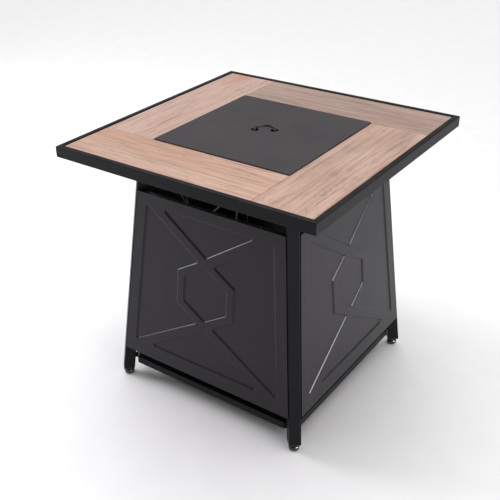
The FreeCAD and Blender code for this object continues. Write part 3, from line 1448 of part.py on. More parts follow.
def probe_lead():
    """From the tap's probe port, below the other lead, and up to the flame probe."""
    start = probe_port_end()
    end = V(PROBE_X, PILOT_Y, BOWL_FLOOR - PROBE_DROP)
    points = [
        start,
        start + V(20, 0, 0),
        V(-203, 18, CONTROL_LEVEL - 3.3),
        V(-198, -4, CONTROL_LEVEL - 23.3),
        V(-199, -29, CONTROL_LEVEL - 45.3),
        V(-196, -56, CONTROL_LEVEL - 67.3),
        V(-187, -83, CONTROL_LEVEL - 88.3),
        V(-171, -107, CONTROL_LEVEL - 108.3),
        V(-148, -126, CONTROL_LEVEL - 126.3),
        V(-119, -137, CONTROL_LEVEL - 142.3),
        V(-86, -142, CONTROL_LEVEL - 155.3),
        V(-52, -144, CONTROL_LEVEL - 162.3),
        V(-20, -146, CONTROL_LEVEL - 158.3),
        V(5, -147, CONTROL_LEVEL - 143.3),
        V(17, PILOT_Y, CONTROL_LEVEL - 116.3),
        end - V(0, 0, 46),
        end,
    ]
    return tube_along("probe_lead", points, LEAD_RADIUS)


# ---- every piece --------------------------------------------------------------------------


def pieces():
    body = panel_body()
    yield "tabletop_rim", tabletop_rim()
    yield "rim_rivets", rim_rivets()
    yield "tabletop_deck", tabletop_deck()
    for i, name in enumerate(("front", "right", "back", "left")):
        yield f"tile_{name}", tile(i)
    yield "lid", lid()
    yield "lid_handle", lid_handle()
    yield "handle_clips", handle_clips()
    yield "fire_bowl", fire_bowl()
    yield "bowl_screws", bowl_screws()
    yield "burner_ring", burner_ring()
    yield "burner_inlet", burner_inlet()
    yield "burner_nut", burner_nut()
    yield "pilot_bracket", pilot_bracket()
    yield "ignition_electrode", ignition_electrode()
    yield "flame_probe", flame_probe()
    yield "lava_rocks", lava_rocks()
    yield "top_frame", top_frame()
    yield "tabletop_bolts", tabletop_bolts()
    yield "leg_bolts", leg_bolts()
    yield "leg_front_left", leg(0, True, True)
    yield "leg_front_right", leg(1, True, True)
    yield "leg_back_right", leg(2, False, True)
    yield "leg_back_left", leg(3, True, False)
    yield "foot_inserts", foot_inserts()
    for i, name in enumerate(("front_left", "front_right", "back_right", "back_left")):
        yield f"foot_{name}", foot(i)
    for i, name in ((0, "front"), (1, "right"), (3, "left")):
        yield f"panel_{name}", side_panel(body, i)
    yield "panel_screws", panel_screws((0, 1, 3))
    yield "door_panel", turned(body, DOOR_SIDE)
    yield "door_hinge_leaves", door_hinge_leaves()
    yield "leg_hinge_leaves", leg_hinge_leaves()
    yield "door_magnet", door_magnet()
    yield "bottom_tray", bottom_tray()
    yield "tray_bolts", tray_bolts()
    yield "cylinder_seat", cylinder_seat()
    yield "cylinder_lock_screw", cylinder_lock_screw()
    yield "control_panel", control_panel()
    yield "control_screws", control_screws()
    yield "gas_valve", gas_valve()
    yield "valve_inlet", valve_inlet()
    yield "valve_stem", valve_stem()
    yield "control_knob", control_knob()
    yield "igniter_body", igniter_body()
    yield "igniter_cell", igniter_cell()
    yield "igniter_button", igniter_button()
    yield "supply_tube", supply_tube()
    yield "ignition_lead", ignition_lead()
    yield "probe_lead", probe_lead()


os.makedirs("parts", exist_ok=True)
for node, shape in pieces():
    if not shape.isValid() or shape.Volume <= 0:
        print(f"{node} is not a sound solid: valid {shape.isValid()}, volume {shape.Volume:.1f}")
    shape.exportStep(f"parts/{node}.step")
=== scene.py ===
# %% [markdown]
# # A square gas fire table
#
# The real object is a steel table with a tiled top. A lid with a folding handle covers the fire
# bowl in its middle. Four pressed panels hide the gas cylinder below.
#
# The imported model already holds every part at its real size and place. This lesson leaves those
# parts where they are, gives each one its finish, and rebuilds the few whose looks need more
# detail than a working model has: the pressed panels, the screws, the stones and the knob.

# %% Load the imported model
import math

import bmesh
import bpy
from mathutils import Matrix, Vector


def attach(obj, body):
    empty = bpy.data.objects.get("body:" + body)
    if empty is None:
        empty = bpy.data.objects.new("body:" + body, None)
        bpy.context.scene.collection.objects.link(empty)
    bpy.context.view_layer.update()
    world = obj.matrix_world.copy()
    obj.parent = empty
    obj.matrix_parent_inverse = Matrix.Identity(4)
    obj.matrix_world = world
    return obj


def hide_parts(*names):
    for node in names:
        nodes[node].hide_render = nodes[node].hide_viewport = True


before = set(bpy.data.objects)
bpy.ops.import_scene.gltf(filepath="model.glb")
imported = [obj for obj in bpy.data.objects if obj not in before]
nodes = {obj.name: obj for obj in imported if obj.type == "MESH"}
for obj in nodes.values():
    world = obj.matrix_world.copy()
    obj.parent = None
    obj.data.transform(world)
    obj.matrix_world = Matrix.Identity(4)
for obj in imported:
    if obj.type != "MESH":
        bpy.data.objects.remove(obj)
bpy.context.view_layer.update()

# %% [markdown]
# ## The camera
#
# A camera is easiest to think of as a tripod: it looks at a point, from a compass direction, at
# a height above the ground, from a distance. This one stands to the front right at chest height,
# 1.4 m up, and looks down on the table through a mildly long lens. A small roll stands for a
# tripod that isn't quite level, and a small shift moves the table off the middle of the frame.

# %% Camera
LOOK_AT = Vector((-0.0854, -0.0348, 0.341))
AZIMUTH = math.radians(36.254)
ELEVATION = math.radians(29.226)
DISTANCE = 2.1732
ROLL = math.radians(-1.045)

backwards = Vector((
    math.sin(AZIMUTH) * math.cos(ELEVATION),
    -math.cos(AZIMUTH) * math.cos(ELEVATION),
    math.sin(ELEVATION),
))
camera_data = bpy.data.cameras.new("camera")
camera_data.sensor_width = 36
camera_data.lens = 58.61
camera_data.shift_x = 0.0399
camera_data.shift_y = -0.0029
camera = bpy.data.objects.new("camera", camera_data)
turn = backwards.to_track_quat("Z", "Y").to_matrix().to_4x4() @ Matrix.Rotation(ROLL, 4, "Z")
camera.matrix_world = Matrix.Translation(LOOK_AT + backwards * DISTANCE) @ turn
bpy.context.scene.collection.objects.link(camera)
bpy.context.scene.camera = camera
print("camera at", [round(v, 3) for v in camera.matrix_world.translation])

# %% [markdown]
# ## Floor and light
#
# Dark paint shows its shape only by what it reflects, so a studio gives it large soft shapes to
# reflect. A broad light far above keeps the pale floor even from front to back: a sun lamp with a
# wide angle does that, because its light doesn't weaken with distance. One large panel stands to
# the right, where the raised lines of the right-hand side can catch it, and a weaker one to the
# left. Two more lamps light no paint directly: they are seen only as glints along rolled edges.
# The world stays dim, so the sides that face neither panel fall dark. The plain "Standard" view
# shows every paint at the tone that it was mixed to.

# %% Floor
def flat_sheet(name, half):
    """A square on the ground round the origin."""
    mesh = bpy.data.meshes.new(name)
    corners = [(-half, -half, 0), (half, -half, 0), (half, half, 0), (-half, half, 0)]
    mesh.from_pydata(corners, [], [(0, 1, 2, 3)])
    sheet = bpy.data.objects.new(name, mesh)
    bpy.context.scene.collection.objects.link(sheet)
    return sheet


floor = flat_sheet("studio_floor", 12)
print("floor is", floor.dimensions.x, "m across")


# %% Lights
def aimed(name, data, direction, distance=3.0):
    """A lamp at that distance from the middle of the table, in a direction, facing back at it."""
    light = bpy.data.objects.new(name, data)
    out = Vector(direction).normalized()
    look = out.to_track_quat("Z", "Y").to_matrix().to_4x4()
    light.matrix_world = Matrix.Translation(Vector((0, 0, 0.4)) + out * distance) @ look
    bpy.context.scene.collection.objects.link(light)
    return light


def soft_panel(name, direction, size, watts, colour, distance=3.0):
    data = bpy.data.lights.new(name, "AREA")
    data.size = size
    data.energy = watts
    data.color = colour
    return aimed(name, data, direction, distance)


overhead = bpy.data.lights.new("light_above", "SUN")
overhead.energy = 2.35
overhead.angle = math.radians(70)
aimed("light_above", overhead, (-0.12, 0.22, 1.0))
soft_panel("light_right", (0.86, -0.20, 0.50), 1.7, 18, (1.0, 0.93, 0.97))
soft_panel("light_left", (-0.92, -0.24, 0.28), 1.1, 54, (0.98, 0.95, 1.0))
glints = [
    ("glint_left", (-0.97, -0.22, 0.0), 1.0, 3),
    ("glint_right", (0.96, 0.02, 0.27), 1.6, 210),
]
for name, direction, size, watts in glints:
    glint = soft_panel(name, direction, size, watts, (1.0, 0.97, 1.0))
    glint.visible_diffuse = False
world = bpy.data.worlds.new("studio")
bpy.context.scene.world = world
world.use_nodes = True
world.node_tree.nodes["Background"].inputs["Color"].default_value = (1, 1, 1, 1)
world.node_tree.nodes["Background"].inputs["Strength"].default_value = 0.28
bpy.context.scene.view_settings.view_transform = "Standard"

# %% [markdown]
# ## How the materials are built
#
# A material here is one Principled BSDF, whose colour, roughness and bump come from patterns.
# Every pattern reads Object coordinates, which are metres in the model's own frame, so a grain
# of one millimetre is one millimetre on every part. An effect that several materials share is a
# node group: it is built once, and each material gives it its own sizes.

# %% Small helpers for node trees
def link(tree, source, target):
    """Joins an output to an input."""
    tree.links.new(source, target)


def add(tree, kind, **inputs):
    """A node of that kind; a keyword sets the input of that name, with _ for a space."""
    node = tree.nodes.new(kind)
    for name, value in inputs.items():
        socket = node.inputs[name.replace("_", " ")]
        if isinstance(value, bpy.types.NodeSocket):
            link(tree, value, socket)
        else:
            socket.default_value = value
    return node


def math_node(tree, operation, first, second=0.0):
    """The value of a sum, product or other operation of two values."""
    node = tree.nodes.new("ShaderNodeMath")
    node.operation = operation
    for socket, value in zip(node.inputs, (first, second)):
        if isinstance(value, bpy.types.NodeSocket):
            link(tree, value, socket)
        else:
            socket.default_value = value
    return node.outputs[0]


def spread(tree, value, low, high, out_low=0.0, out_high=1.0):
    """A value's range moved to another range, and held at its ends."""
    node = add(tree, "ShaderNodeMapRange", Value=value, From_Min=low, From_Max=high,
               To_Min=out_low, To_Max=out_high)
    return node.outputs["Result"]


def mixed(tree, factor, first, second):
    """A colour between two colours."""
    node = tree.nodes.new("ShaderNodeMix")
    node.data_type = "RGBA"
    for index, value in ((0, factor), (6, first), (7, second)):
        socket = node.inputs[index]
        if isinstance(value, bpy.types.NodeSocket):
            link(tree, value, socket)
        elif isinstance(value, tuple):
            socket.default_value = (*value, 1)
        else:
            socket.default_value = value
    return node.outputs[2]


def new_group(name, inputs, outputs):
    """An empty shader group with named value inputs, and outputs of the kinds given."""
    tree = bpy.data.node_groups.new(name, "ShaderNodeTree")
    for label, value in inputs.items():
        socket = tree.interface.new_socket(label, in_out="INPUT", socket_type="NodeSocketFloat")
        socket.default_value = value
    for label, kind in outputs.items():
        tree.interface.new_socket(label, in_out="OUTPUT", socket_type=kind)
    return tree, tree.nodes.new("NodeGroupInput"), tree.nodes.new("NodeGroupOutput")


def paint(red, green, blue):
    """A colour as a paint chart gives it, from 0 to 255, made linear for the shader."""
    return tuple(((c / 255 + 0.055) / 1.055) ** 2.4 for c in (red, green, blue))


VALUE = "NodeSocketFloat"
COLOUR = "NodeSocketColor"

# %% [markdown]
# ### Powder coat
#
# The frame, panels and lid are powder-coated. Cured powder is never quite flat: it has a fine
# sandy grain, and under that a slow wave like the skin of an orange. Dust settles where the
# paint faces up. The group gives the height of the grain, a slow mottle and the dust.

# %% Powder coat group
def coat_group():
    tree, given, result = new_group(
        "powder_coat",
        {"Grain Size": 0.0012, "Grain": 1.0, "Wave": 0.35, "Dust": 0.3},
        {"Height": VALUE, "Mottle": VALUE, "Dust": VALUE},
    )
    place = tree.nodes.new("ShaderNodeTexCoord").outputs["Object"]
    fineness = math_node(tree, "DIVIDE", 1.0, given.outputs["Grain Size"])
    grain = add(tree, "ShaderNodeTexNoise", Vector=place, Scale=fineness, Detail=2.0)
    wave = add(tree, "ShaderNodeTexNoise", Vector=place, Scale=180.0, Detail=1.0)
    mottle = add(tree, "ShaderNodeTexNoise", Vector=place, Scale=9.0, Detail=4.0, Roughness=0.6)
    fine = math_node(tree, "MULTIPLY", grain.outputs[0], given.outputs["Grain"])
    slow = math_node(tree, "MULTIPLY", wave.outputs[0], given.outputs["Wave"])
    link(tree, math_node(tree, "ADD", fine, slow), result.inputs["Height"])
    link(tree, spread(tree, mottle.outputs[0], 0.3, 0.7), result.inputs["Mottle"])
    facing = tree.nodes.new("ShaderNodeNewGeometry")
    up = add(tree, "ShaderNodeSeparateXYZ", Vector=facing.outputs["Normal"]).outputs["Z"]
    settled = math_node(tree, "MULTIPLY", spread(tree, up, 0.2, 1.0), given.outputs["Dust"])
    patchy = add(tree, "ShaderNodeTexNoise", Vector=place, Scale=14.0, Detail=6.0, Roughness=0.7)
    dust = math_node(tree, "MULTIPLY", settled, spread(tree, patchy.outputs[0], 0.35, 0.75))
    link(tree, dust, result.inputs["Dust"])
    return tree


POWDER_COAT = coat_group()
outputs = [s.name for s in POWDER_COAT.interface.items_tree if s.in_out == "OUTPUT"]
print("powder coat outputs:", outputs)


# %% A material from its parts
def new_material(name, metallic=0.0, specular=0.5, coat=0.0):
    """A material with an empty tree but for its shader; gives the material, tree and shader."""
    material = bpy.data.materials.new(name)
    material.use_nodes = True
    shader = material.node_tree.nodes["Principled BSDF"]
    shader.inputs["Metallic"].default_value = metallic
    shader.inputs["Specular IOR Level"].default_value = specular
    shader.inputs["Coat Weight"].default_value = coat
    return material, material.node_tree, shader


def bump(tree, shader, height, depth):
    """Bump of that real depth in metres on the shader's normal."""
    node = add(tree, "ShaderNodeBump", Height=height, Distance=depth, Strength=1.0)
    link(tree, node.outputs["Normal"], shader.inputs["Normal"])


def powder_coated(name, colour, paler, rough, grain=0.0012, depth=0.00004, dust=0.12, shine=0.4):
    """Powder-coated steel in one colour, with its mottle, dust and grain."""
    material, tree, shader = new_material(name, specular=shine)
    coat = tree.nodes.new("ShaderNodeGroup")
    coat.node_tree = POWDER_COAT
    coat.inputs["Grain Size"].default_value = grain
    coat.inputs["Dust"].default_value = dust
    body = mixed(tree, coat.outputs["Mottle"], colour, paler)
    dusty = mixed(tree, coat.outputs["Dust"], body, paint(120, 114, 108))
    link(tree, dusty, shader.inputs["Base Color"])
    uneven = spread(tree, coat.outputs["Mottle"], 0, 1, rough, rough + 0.06)
    link(tree, uneven, shader.inputs["Roughness"])
    bump(tree, shader, coat.outputs["Height"], depth)
    return material


FRAME_COAT = powder_coated("frame_coat", paint(17, 15, 19), paint(21, 19, 23), 0.38, shine=0.12)
PANEL_COAT = powder_coated("panel_coat", paint(28, 24, 30), paint(32, 28, 34), 0.30, shine=0.25)
LID_COAT = powder_coated("lid_coat", paint(46, 41, 46), paint(51, 46, 50), 0.46, dust=0.06)
INSIDE_COAT = powder_coated("inside_coat", paint(26, 26, 27), paint(34, 33, 33), 0.6, dust=0.2)
print("coats:", [m.name for m in (FRAME_COAT, PANEL_COAT, LID_COAT, INSIDE_COAT)])

# %% [markdown]
# ### Wood-look tile
#
# The tiles are ceramic, printed to look like limed wood. A printed board has three scales of
# mark: broad bands of tone, long streaks, and short dark pores. All of them are noise drawn out
# along the board, so the group squeezes its coordinates along the grain before any noise.

# %% Wood print group
def wood_group():
    tree, given, result = new_group(
        "wood_print",
        {"Seed": 0.0, "Warmth": 0.5, "Grey": 0.5, "Streak": 0.5},
        {"Color": COLOUR, "Height": VALUE, "Roughness": VALUE},
    )
    vector_in = tree.interface.new_socket("Vector", in_out="INPUT", socket_type="NodeSocketVector")
    vector_in.default_value = (0, 0, 0)
    seeded = add(tree, "ShaderNodeCombineXYZ", Z=given.outputs["Seed"]).outputs[0]
    moved = tree.nodes.new("ShaderNodeVectorMath")
    link(tree, given.outputs["Vector"], moved.inputs[0])
    link(tree, seeded, moved.inputs[1])
    place = moved.outputs[0]

    def drawn_out(along, across):
        squeeze = add(tree, "ShaderNodeMapping", Vector=place)
        squeeze.inputs["Scale"].default_value = (along, across, 1)
        return squeeze.outputs[0]

    def noise(vector, detail, rough, distortion=0.0):
        node = add(tree, "ShaderNodeTexNoise", Vector=vector, Scale=1.0, Detail=detail,
                   Roughness=rough, Distortion=distortion)
        return node.outputs[0]

    tone = noise(drawn_out(2.0, 11), 3.0, 0.5, 0.8)
    streak = noise(drawn_out(5.0, 120), 5.0, 0.64, 0.5)
    fine = noise(drawn_out(18, 380), 3.0, 0.6)
    cloud = noise(drawn_out(2.6, 9), 4.0, 0.6, 0.4)
    flame = noise(drawn_out(2.4, 22), 3.0, 0.5, 1.6)
    rings = math_node(tree, "FRACT", math_node(tree, "MULTIPLY", flame, 8.0))
    from_line = math_node(tree, "ABSOLUTE", math_node(tree, "SUBTRACT", rings, 0.5))
    ring_line = spread(tree, from_line, 0.0, 0.16, 1.0, 0.0)

    base = mixed(tree, given.outputs["Warmth"], paint(196, 174, 157), paint(209, 176, 150))
    pale = mixed(tree, spread(tree, tone, 0.36, 0.64), base, paint(219, 193, 172))
    amber = math_node(tree, "MULTIPLY", spread(tree, cloud, 0.52, 0.72), given.outputs["Warmth"])
    warmed = mixed(tree, math_node(tree, "MULTIPLY", amber, 0.75), pale, paint(193, 145, 108))
    grey = math_node(tree, "MULTIPLY", spread(tree, cloud, 0.50, 0.34), given.outputs["Grey"])
    cooled = mixed(tree, grey, warmed, paint(150, 133, 120))
    shade = math_node(tree, "MULTIPLY", spread(tree, streak, 0.47, 0.68), given.outputs["Streak"])
    streaked = mixed(tree, shade, cooled, paint(150, 118, 95))
    lined = math_node(tree, "MULTIPLY", math_node(tree, "MULTIPLY", ring_line, 0.40),
                      spread(tree, streak, 0.36, 0.56))
    ringed = mixed(tree, lined, streaked, paint(126, 96, 77))
    pored = mixed(tree, spread(tree, fine, 0.55, 0.72, 0.0, 0.34), ringed, paint(120, 93, 76))
    link(tree, pored, result.inputs["Color"])
    pores = spread(tree, fine, 0.5, 0.8, 0.0, 0.6)
    grooves = spread(tree, streak, 0.5, 0.8, 0.0, 0.4)
    relief = math_node(tree, "SUBTRACT", spread(tree, tone, 0, 1), pores)
    link(tree, math_node(tree, "SUBTRACT", relief, grooves), result.inputs["Height"])
    link(tree, spread(tree, streak, 0.3, 0.7, 0.40, 0.54), result.inputs["Roughness"])
    return tree


WOOD_PRINT = wood_group()


def wood_tile(name, turn_degrees, seed, warmth, grey, streak, tone):
    """A tile whose grain runs along X, or along Y when turned a quarter; tone darkens the print."""
    material, tree, shader = new_material(name, specular=0.35)
    place = tree.nodes.new("ShaderNodeTexCoord").outputs["Object"]
    along = add(tree, "ShaderNodeMapping", Vector=place)
    along.inputs["Rotation"].default_value = (0, 0, math.radians(turn_degrees))
    wood = tree.nodes.new("ShaderNodeGroup")
    wood.node_tree = WOOD_PRINT
    link(tree, along.outputs[0], wood.inputs["Vector"])
    for socket, value in (("Seed", seed), ("Warmth", warmth), ("Grey", grey), ("Streak", streak)):
        wood.inputs[socket].default_value = value
    fired = tree.nodes.new("ShaderNodeMix")
    fired.data_type = "RGBA"
    fired.blend_type = "MULTIPLY"
    fired.inputs[0].default_value = 1.0
    fired.inputs[7].default_value = (*tone, 1)
    link(tree, wood.outputs["Color"], fired.inputs[6])
    link(tree, fired.outputs[2], shader.inputs["Base Color"])
    link(tree, wood.outputs["Roughness"], shader.inputs["Roughness"])
    bump(tree, shader, wood.outputs["Height"], 0.00012)
    return material


TILES = {
    "tile_front": wood_tile("tile_front", 0, 1.7, 0.95, 0.15, 0.50, (0.89, 0.81, 0.84)),
    "tile_right": wood_tile("tile_right", 90, 4.1, 0.65, 0.28, 0.60, (0.87, 0.82, 0.87)),
    "tile_back": wood_tile("tile_back", 0, 7.9, 0.35, 0.60, 0.55, (0.63, 0.60, 0.66)),
    "tile_left": wood_tile("tile_left", 90, 11.3, 0.75, 0.20, 0.40, (0.85, 0.80, 0.89)),
}
print("tiles:", sorted(TILES))

# %% [markdown]
# ### Metals, plastics, ceramic and stone
#
# Bare metal needs a brushed or cloudy roughness to look real, because a perfect mirror never
# leaves a workshop. Moulded plastic has a fine even grain. Heat colours the burner's steel.

# %% Brushed metal group
def metal_group():
    tree, given, result = new_group(
        "worked_metal",
        {"Scratch": 1.0, "Rough": 0.3},
        {"Height": VALUE, "Roughness": VALUE, "Stain": VALUE},
    )
    place = tree.nodes.new("ShaderNodeTexCoord").outputs["Object"]
    lines = add(tree, "ShaderNodeMapping", Vector=place)
    lines.inputs["Scale"].default_value = (60, 60, 1400)
    drawn = add(tree, "ShaderNodeTexNoise", Vector=lines.outputs[0], Scale=1.0, Detail=3.0)
    patches = add(tree, "ShaderNodeTexNoise", Vector=place, Scale=45.0, Detail=5.0, Roughness=0.6)
    cloud = patches.outputs[0]
    scratch = math_node(tree, "MULTIPLY", drawn.outputs[0], given.outputs["Scratch"])
    link(tree, scratch, result.inputs["Height"])
    wide = math_node(tree, "MULTIPLY", math_node(tree, "SUBTRACT", cloud, 0.5), 0.35)
    link(tree, math_node(tree, "ADD", given.outputs["Rough"], wide), result.inputs["Roughness"])
    link(tree, spread(tree, cloud, 0.45, 0.75), result.inputs["Stain"])
    return tree


WORKED_METAL = metal_group()


def metal(name, colour, stained, rough, scratch=1.0):
    """Bare metal with fine scratches and a cloudy stain."""
    material, tree, shader = new_material(name, metallic=1.0)
    worked = tree.nodes.new("ShaderNodeGroup")
    worked.node_tree = WORKED_METAL
    worked.inputs["Scratch"].default_value = scratch
    worked.inputs["Rough"].default_value = rough
    link(tree, mixed(tree, worked.outputs["Stain"], colour, stained), shader.inputs["Base Color"])
    link(tree, worked.outputs["Roughness"], shader.inputs["Roughness"])
    bump(tree, shader, worked.outputs["Height"], 0.00003)
    return material


STAINLESS = metal("stainless", (0.60, 0.58, 0.55), (0.42, 0.36, 0.29), 0.28)
ZINC = metal("zinc", (0.78, 0.78, 0.80), (0.62, 0.60, 0.56), 0.30, 0.5)
BRASS = metal("brass", (0.78, 0.57, 0.26), (0.56, 0.38, 0.16), 0.30)
COPPER = metal("copper", (0.70, 0.47, 0.36), (0.42, 0.27, 0.19), 0.34)
TINNED = metal("tinned_copper", (0.66, 0.62, 0.58), (0.48, 0.42, 0.38), 0.34)
print("metals:", [m.name for m in (STAINLESS, ZINC, BRASS, COPPER, TINNED)])


# %% Grainy solids
def grainy(name, colour, other, rough, size, depth, coat=0.0, pits=False):
    """Plastic, ceramic, stone or rubber: a grain of one size and depth, in two close colours."""
    material, tree, shader = new_material(name, coat=coat)
    place = tree.nodes.new("ShaderNodeTexCoord").outputs["Object"]
    grain = add(tree, "ShaderNodeTexNoise", Vector=place, Scale=1 / size, Detail=3.0).outputs[0]
    broad = add(tree, "ShaderNodeTexNoise", Vector=place, Scale=0.2 / size, Detail=3.0).outputs[0]
    body = mixed(tree, spread(tree, broad, 0.35, 0.65), colour, other)
    link(tree, body, shader.inputs["Base Color"])
    uneven = spread(tree, grain, 0.3, 0.7, rough - 0.05, rough + 0.07)
    link(tree, uneven, shader.inputs["Roughness"])
    height = grain
    if pits:
        cells = add(tree, "ShaderNodeTexVoronoi", Vector=place, Scale=0.45 / size)
        height = math_node(tree, "ADD", grain, spread(tree, cells.outputs["Distance"], 0.05, 0.35))
    bump(tree, shader, height, depth)
    return material


GLIDE = grainy(
    "glide", (0.006, 0.006, 0.007), (0.010, 0.010, 0.011),
    0.14, 0.004, 0.00002, coat=0.6,
)
BLACK_PLASTIC = grainy(
    "black_plastic", (0.012, 0.012, 0.013), (0.020, 0.020, 0.021),
    0.46, 0.0006, 0.00004,
)
BLACK_SCREW = grainy(
    "black_screw", (0.010, 0.010, 0.010), (0.022, 0.021, 0.020),
    0.36, 0.0009, 0.00003,
)
HANDLE_BLACK = grainy(
    "handle_black", (0.004, 0.004, 0.004), (0.007, 0.007, 0.007),
    0.55, 0.0009, 0.00002,
)
MAGNET = grainy("magnet", (0.045, 0.043, 0.042), (0.06, 0.058, 0.055), 0.6, 0.0008, 0.00004)
CERAMIC = grainy(
    "ceramic", (0.74, 0.72, 0.67), (0.80, 0.78, 0.74),
    0.35, 0.0012, 0.00002, coat=0.3,
)
STONE = grainy(
    "lava_stone", (0.052, 0.030, 0.025), (0.115, 0.062, 0.048),
    0.88, 0.0022, 0.0016, pits=True,
)
LEAD_SLEEVE = grainy(
    "lead_sleeve", (0.46, 0.45, 0.44), (0.54, 0.53, 0.51),
    0.4, 0.0012, 0.00003,
)
CELL_CASE = grainy("cell_case", (0.10, 0.10, 0.11), (0.16, 0.15, 0.14), 0.3, 0.003, 0.00002)
FLOOR = grainy("studio_paper", (0.86, 0.86, 0.86), (0.88, 0.88, 0.88), 0.85, 0.02, 0.00002)
floor.data.materials.append(FLOOR)
print("grainy:", [m.name for m in (GLIDE, BLACK_PLASTIC, BLACK_SCREW, CERAMIC, STONE)])

# %% [markdown]
# ## Which part wears which finish
#
# A table from finish to parts keeps the choice in one place. A part that a later step rebuilds
# is listed all the same, because its stand-in takes the same finish.

# %% Finishes
LEGS = ["leg_front_left", "leg_front_right", "leg_back_right", "leg_back_left"]
FEET = ["foot_front_left", "foot_front_right", "foot_back_right", "foot_back_left"]
PANELS = ["panel_front", "panel_right", "panel_left", "door_panel"]
FINISHES = [
    (FRAME_COAT, LEGS),
    (FRAME_COAT, ["tabletop_rim", "tabletop_deck", "top_frame", "bottom_tray"]),
    (FRAME_COAT, ["cylinder_seat", "control_panel"]),
    (PANEL_COAT, PANELS),
    (LID_COAT, ["lid"]),
    (INSIDE_COAT, ["fire_bowl"]),
    (STAINLESS, ["burner_ring", "burner_inlet", "burner_nut", "pilot_bracket", "supply_tube"]),
    (ZINC, ["leg_bolts", "tabletop_bolts", "tray_bolts"]),
    (BRASS, ["gas_valve", "valve_inlet", "valve_stem"]),
    (COPPER, ["flame_probe"]),
    (TINNED, ["probe_lead"]),
    (GLIDE, FEET),
    (BLACK_PLASTIC, ["foot_inserts", "control_knob", "igniter_body", "igniter_button"]),
    (HANDLE_BLACK, ["lid_handle", "handle_clips"]),
    (BLACK_SCREW, ["rim_rivets", "bowl_screws", "panel_screws", "control_screws",
                   "door_hinge_leaves", "leg_hinge_leaves", "cylinder_lock_screw"]),
    (MAGNET, ["door_magnet"]),
    (CERAMIC, ["ignition_electrode"]),
    (STONE, ["lava_rocks"]),
    (LEAD_SLEEVE, ["ignition_lead"]),
    (CELL_CASE, ["igniter_cell"]),
] + [(material, [name]) for name, material in TILES.items()]

finish_of = {name: material for material, names in FINISHES for name in names}
for name, part in nodes.items():
    part.data.materials.clear()
    part.data.materials.append(finish_of[name])
print("finished parts:", len(finish_of))

# %% [markdown]
# ## Pressed panels
#
# The real panels are steel sheet pressed between dies, so every edge of the pattern is a soft
# roll of the metal, never a sharp corner. The working model has the true pattern with sharp
# edges. Rounding a copy of it with a bevel keeps every size and adds the roll that catches light.
# Weighted normals then keep the large flats flat, so that only the rolls shade.

# %% A clean copy of a part
def clean_copy(name):
    """A part's mesh with its doubles merged and its flat faces made whole."""
    mesh = bmesh.new()
    mesh.from_mesh(nodes[name].data)
    bmesh.ops.remove_doubles(mesh, verts=mesh.verts, dist=1e-6)
    flat = math.radians(0.3)
    bmesh.ops.dissolve_limit(mesh, angle_limit=flat, verts=mesh.verts, edges=mesh.edges)
    return mesh


def new_object(name, mesh_data):
    made = bpy.data.objects.new(name, mesh_data)
    bpy.context.scene.collection.objects.link(made)
    return made


def made_plain(host):
    """Turns an object with live modifiers into a plain mesh, and removes the modifiers."""
    seen = host.evaluated_get(bpy.context.evaluated_depsgraph_get())
    host.data = bpy.data.meshes.new_from_object(seen)
    host.modifiers.clear()
    host.data.name = host.name
    return host


def mounted(piece, body, slot, *stands_for):
    """Puts a finished piece on its body, in place of the parts that it stands for."""
    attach(piece, body)
    if stands_for:
        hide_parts(*stands_for)
    return piece


# %% Round the pattern's edges
ROLL_OF_EDGE = 0.0019
STEP_ANGLE = (math.radians(25), math.radians(70))
SHARP_ABOVE = math.radians(35)


def pressed_panel(name, body):
    """A panel whose pattern has rolled edges."""
    mesh = clean_copy(name)
    steps = []
    for edge in mesh.edges:
        if len(edge.link_faces) == 2 and STEP_ANGLE[0] < edge.calc_face_angle() < STEP_ANGLE[1]:
            steps.append(edge)
    bmesh.ops.bevel(mesh, geom=steps, offset=ROLL_OF_EDGE, offset_type="OFFSET", segments=4,
                    profile=0.5, affect="EDGES", clamp_overlap=False)
    data = bpy.data.meshes.new("pressed_" + name)
    mesh.to_mesh(data)
    mesh.free()
    data.materials.append(PANEL_COAT)
    data.shade_smooth()
    data.set_sharp_from_angle(angle=SHARP_ABOVE)
    piece = new_object("pressed_" + name, data)
    weighted = piece.modifiers.new("flats_stay_flat", "WEIGHTED_NORMAL")
    weighted.keep_sharp = True
    weighted.weight = 100
    mounted(made_plain(piece), body, "panel_coat", name)
    print(name, "rounded edges:", len(steps), "faces:", len(piece.data.polygons))
    return piece


for panel_name in PANELS:
    pressed_panel(panel_name, "door" if panel_name == "door_panel" else "base")

# %% [markdown]
# ## Screws, bolts and rivets
#
# A screw's head in the working model is a plain disc on a rod. A real one is domed, has a cross
# pressed into it or is a hexagon, and its shank has a thread. They all follow one rule, so one
# Geometry Nodes tree makes them all: it shapes a head and a threaded shank once, and sets a copy
# on each point, turned the way that the point says. The points are measured on the working model.

# %% Measure the fasteners of a part
def loose_parts(mesh):
    """The separate solids of a mesh, each as a list of its faces."""
    waiting = set(mesh.faces)
    groups = []
    while waiting:
        group, edge_of = [], [waiting.pop()]
        while edge_of:
            face = edge_of.pop()
            group.append(face)
            for side in face.edges:
                for other in side.link_faces:
                    if other in waiting:
                        waiting.remove(other)
                        edge_of.append(other)
        groups.append(group)
    return groups


def fasteners(name):
    """Top centre, turn, head radius, head height and length of each fastener in a part."""
    mesh = clean_copy(name)
    found = []
    for faces in loose_parts(mesh):
        cap = max(faces, key=lambda face: face.calc_area())
        centre = sum((v.co for v in cap.verts), Vector()) / len(cap.verts)
        out = cap.normal
        first = cap.verts[0].co - centre
        depths = sorted({round((centre - v.co).dot(out), 5) for face in faces for v in face.verts})
        side = out.cross(first).normalized()
        turn = Matrix((first.normalized(), side, out)).transposed().to_quaternion()
        found.append({"place": centre, "turn": turn, "radius": first.length,
                      "head": depths[1], "length": depths[-1]})
    mesh.free()
    return found


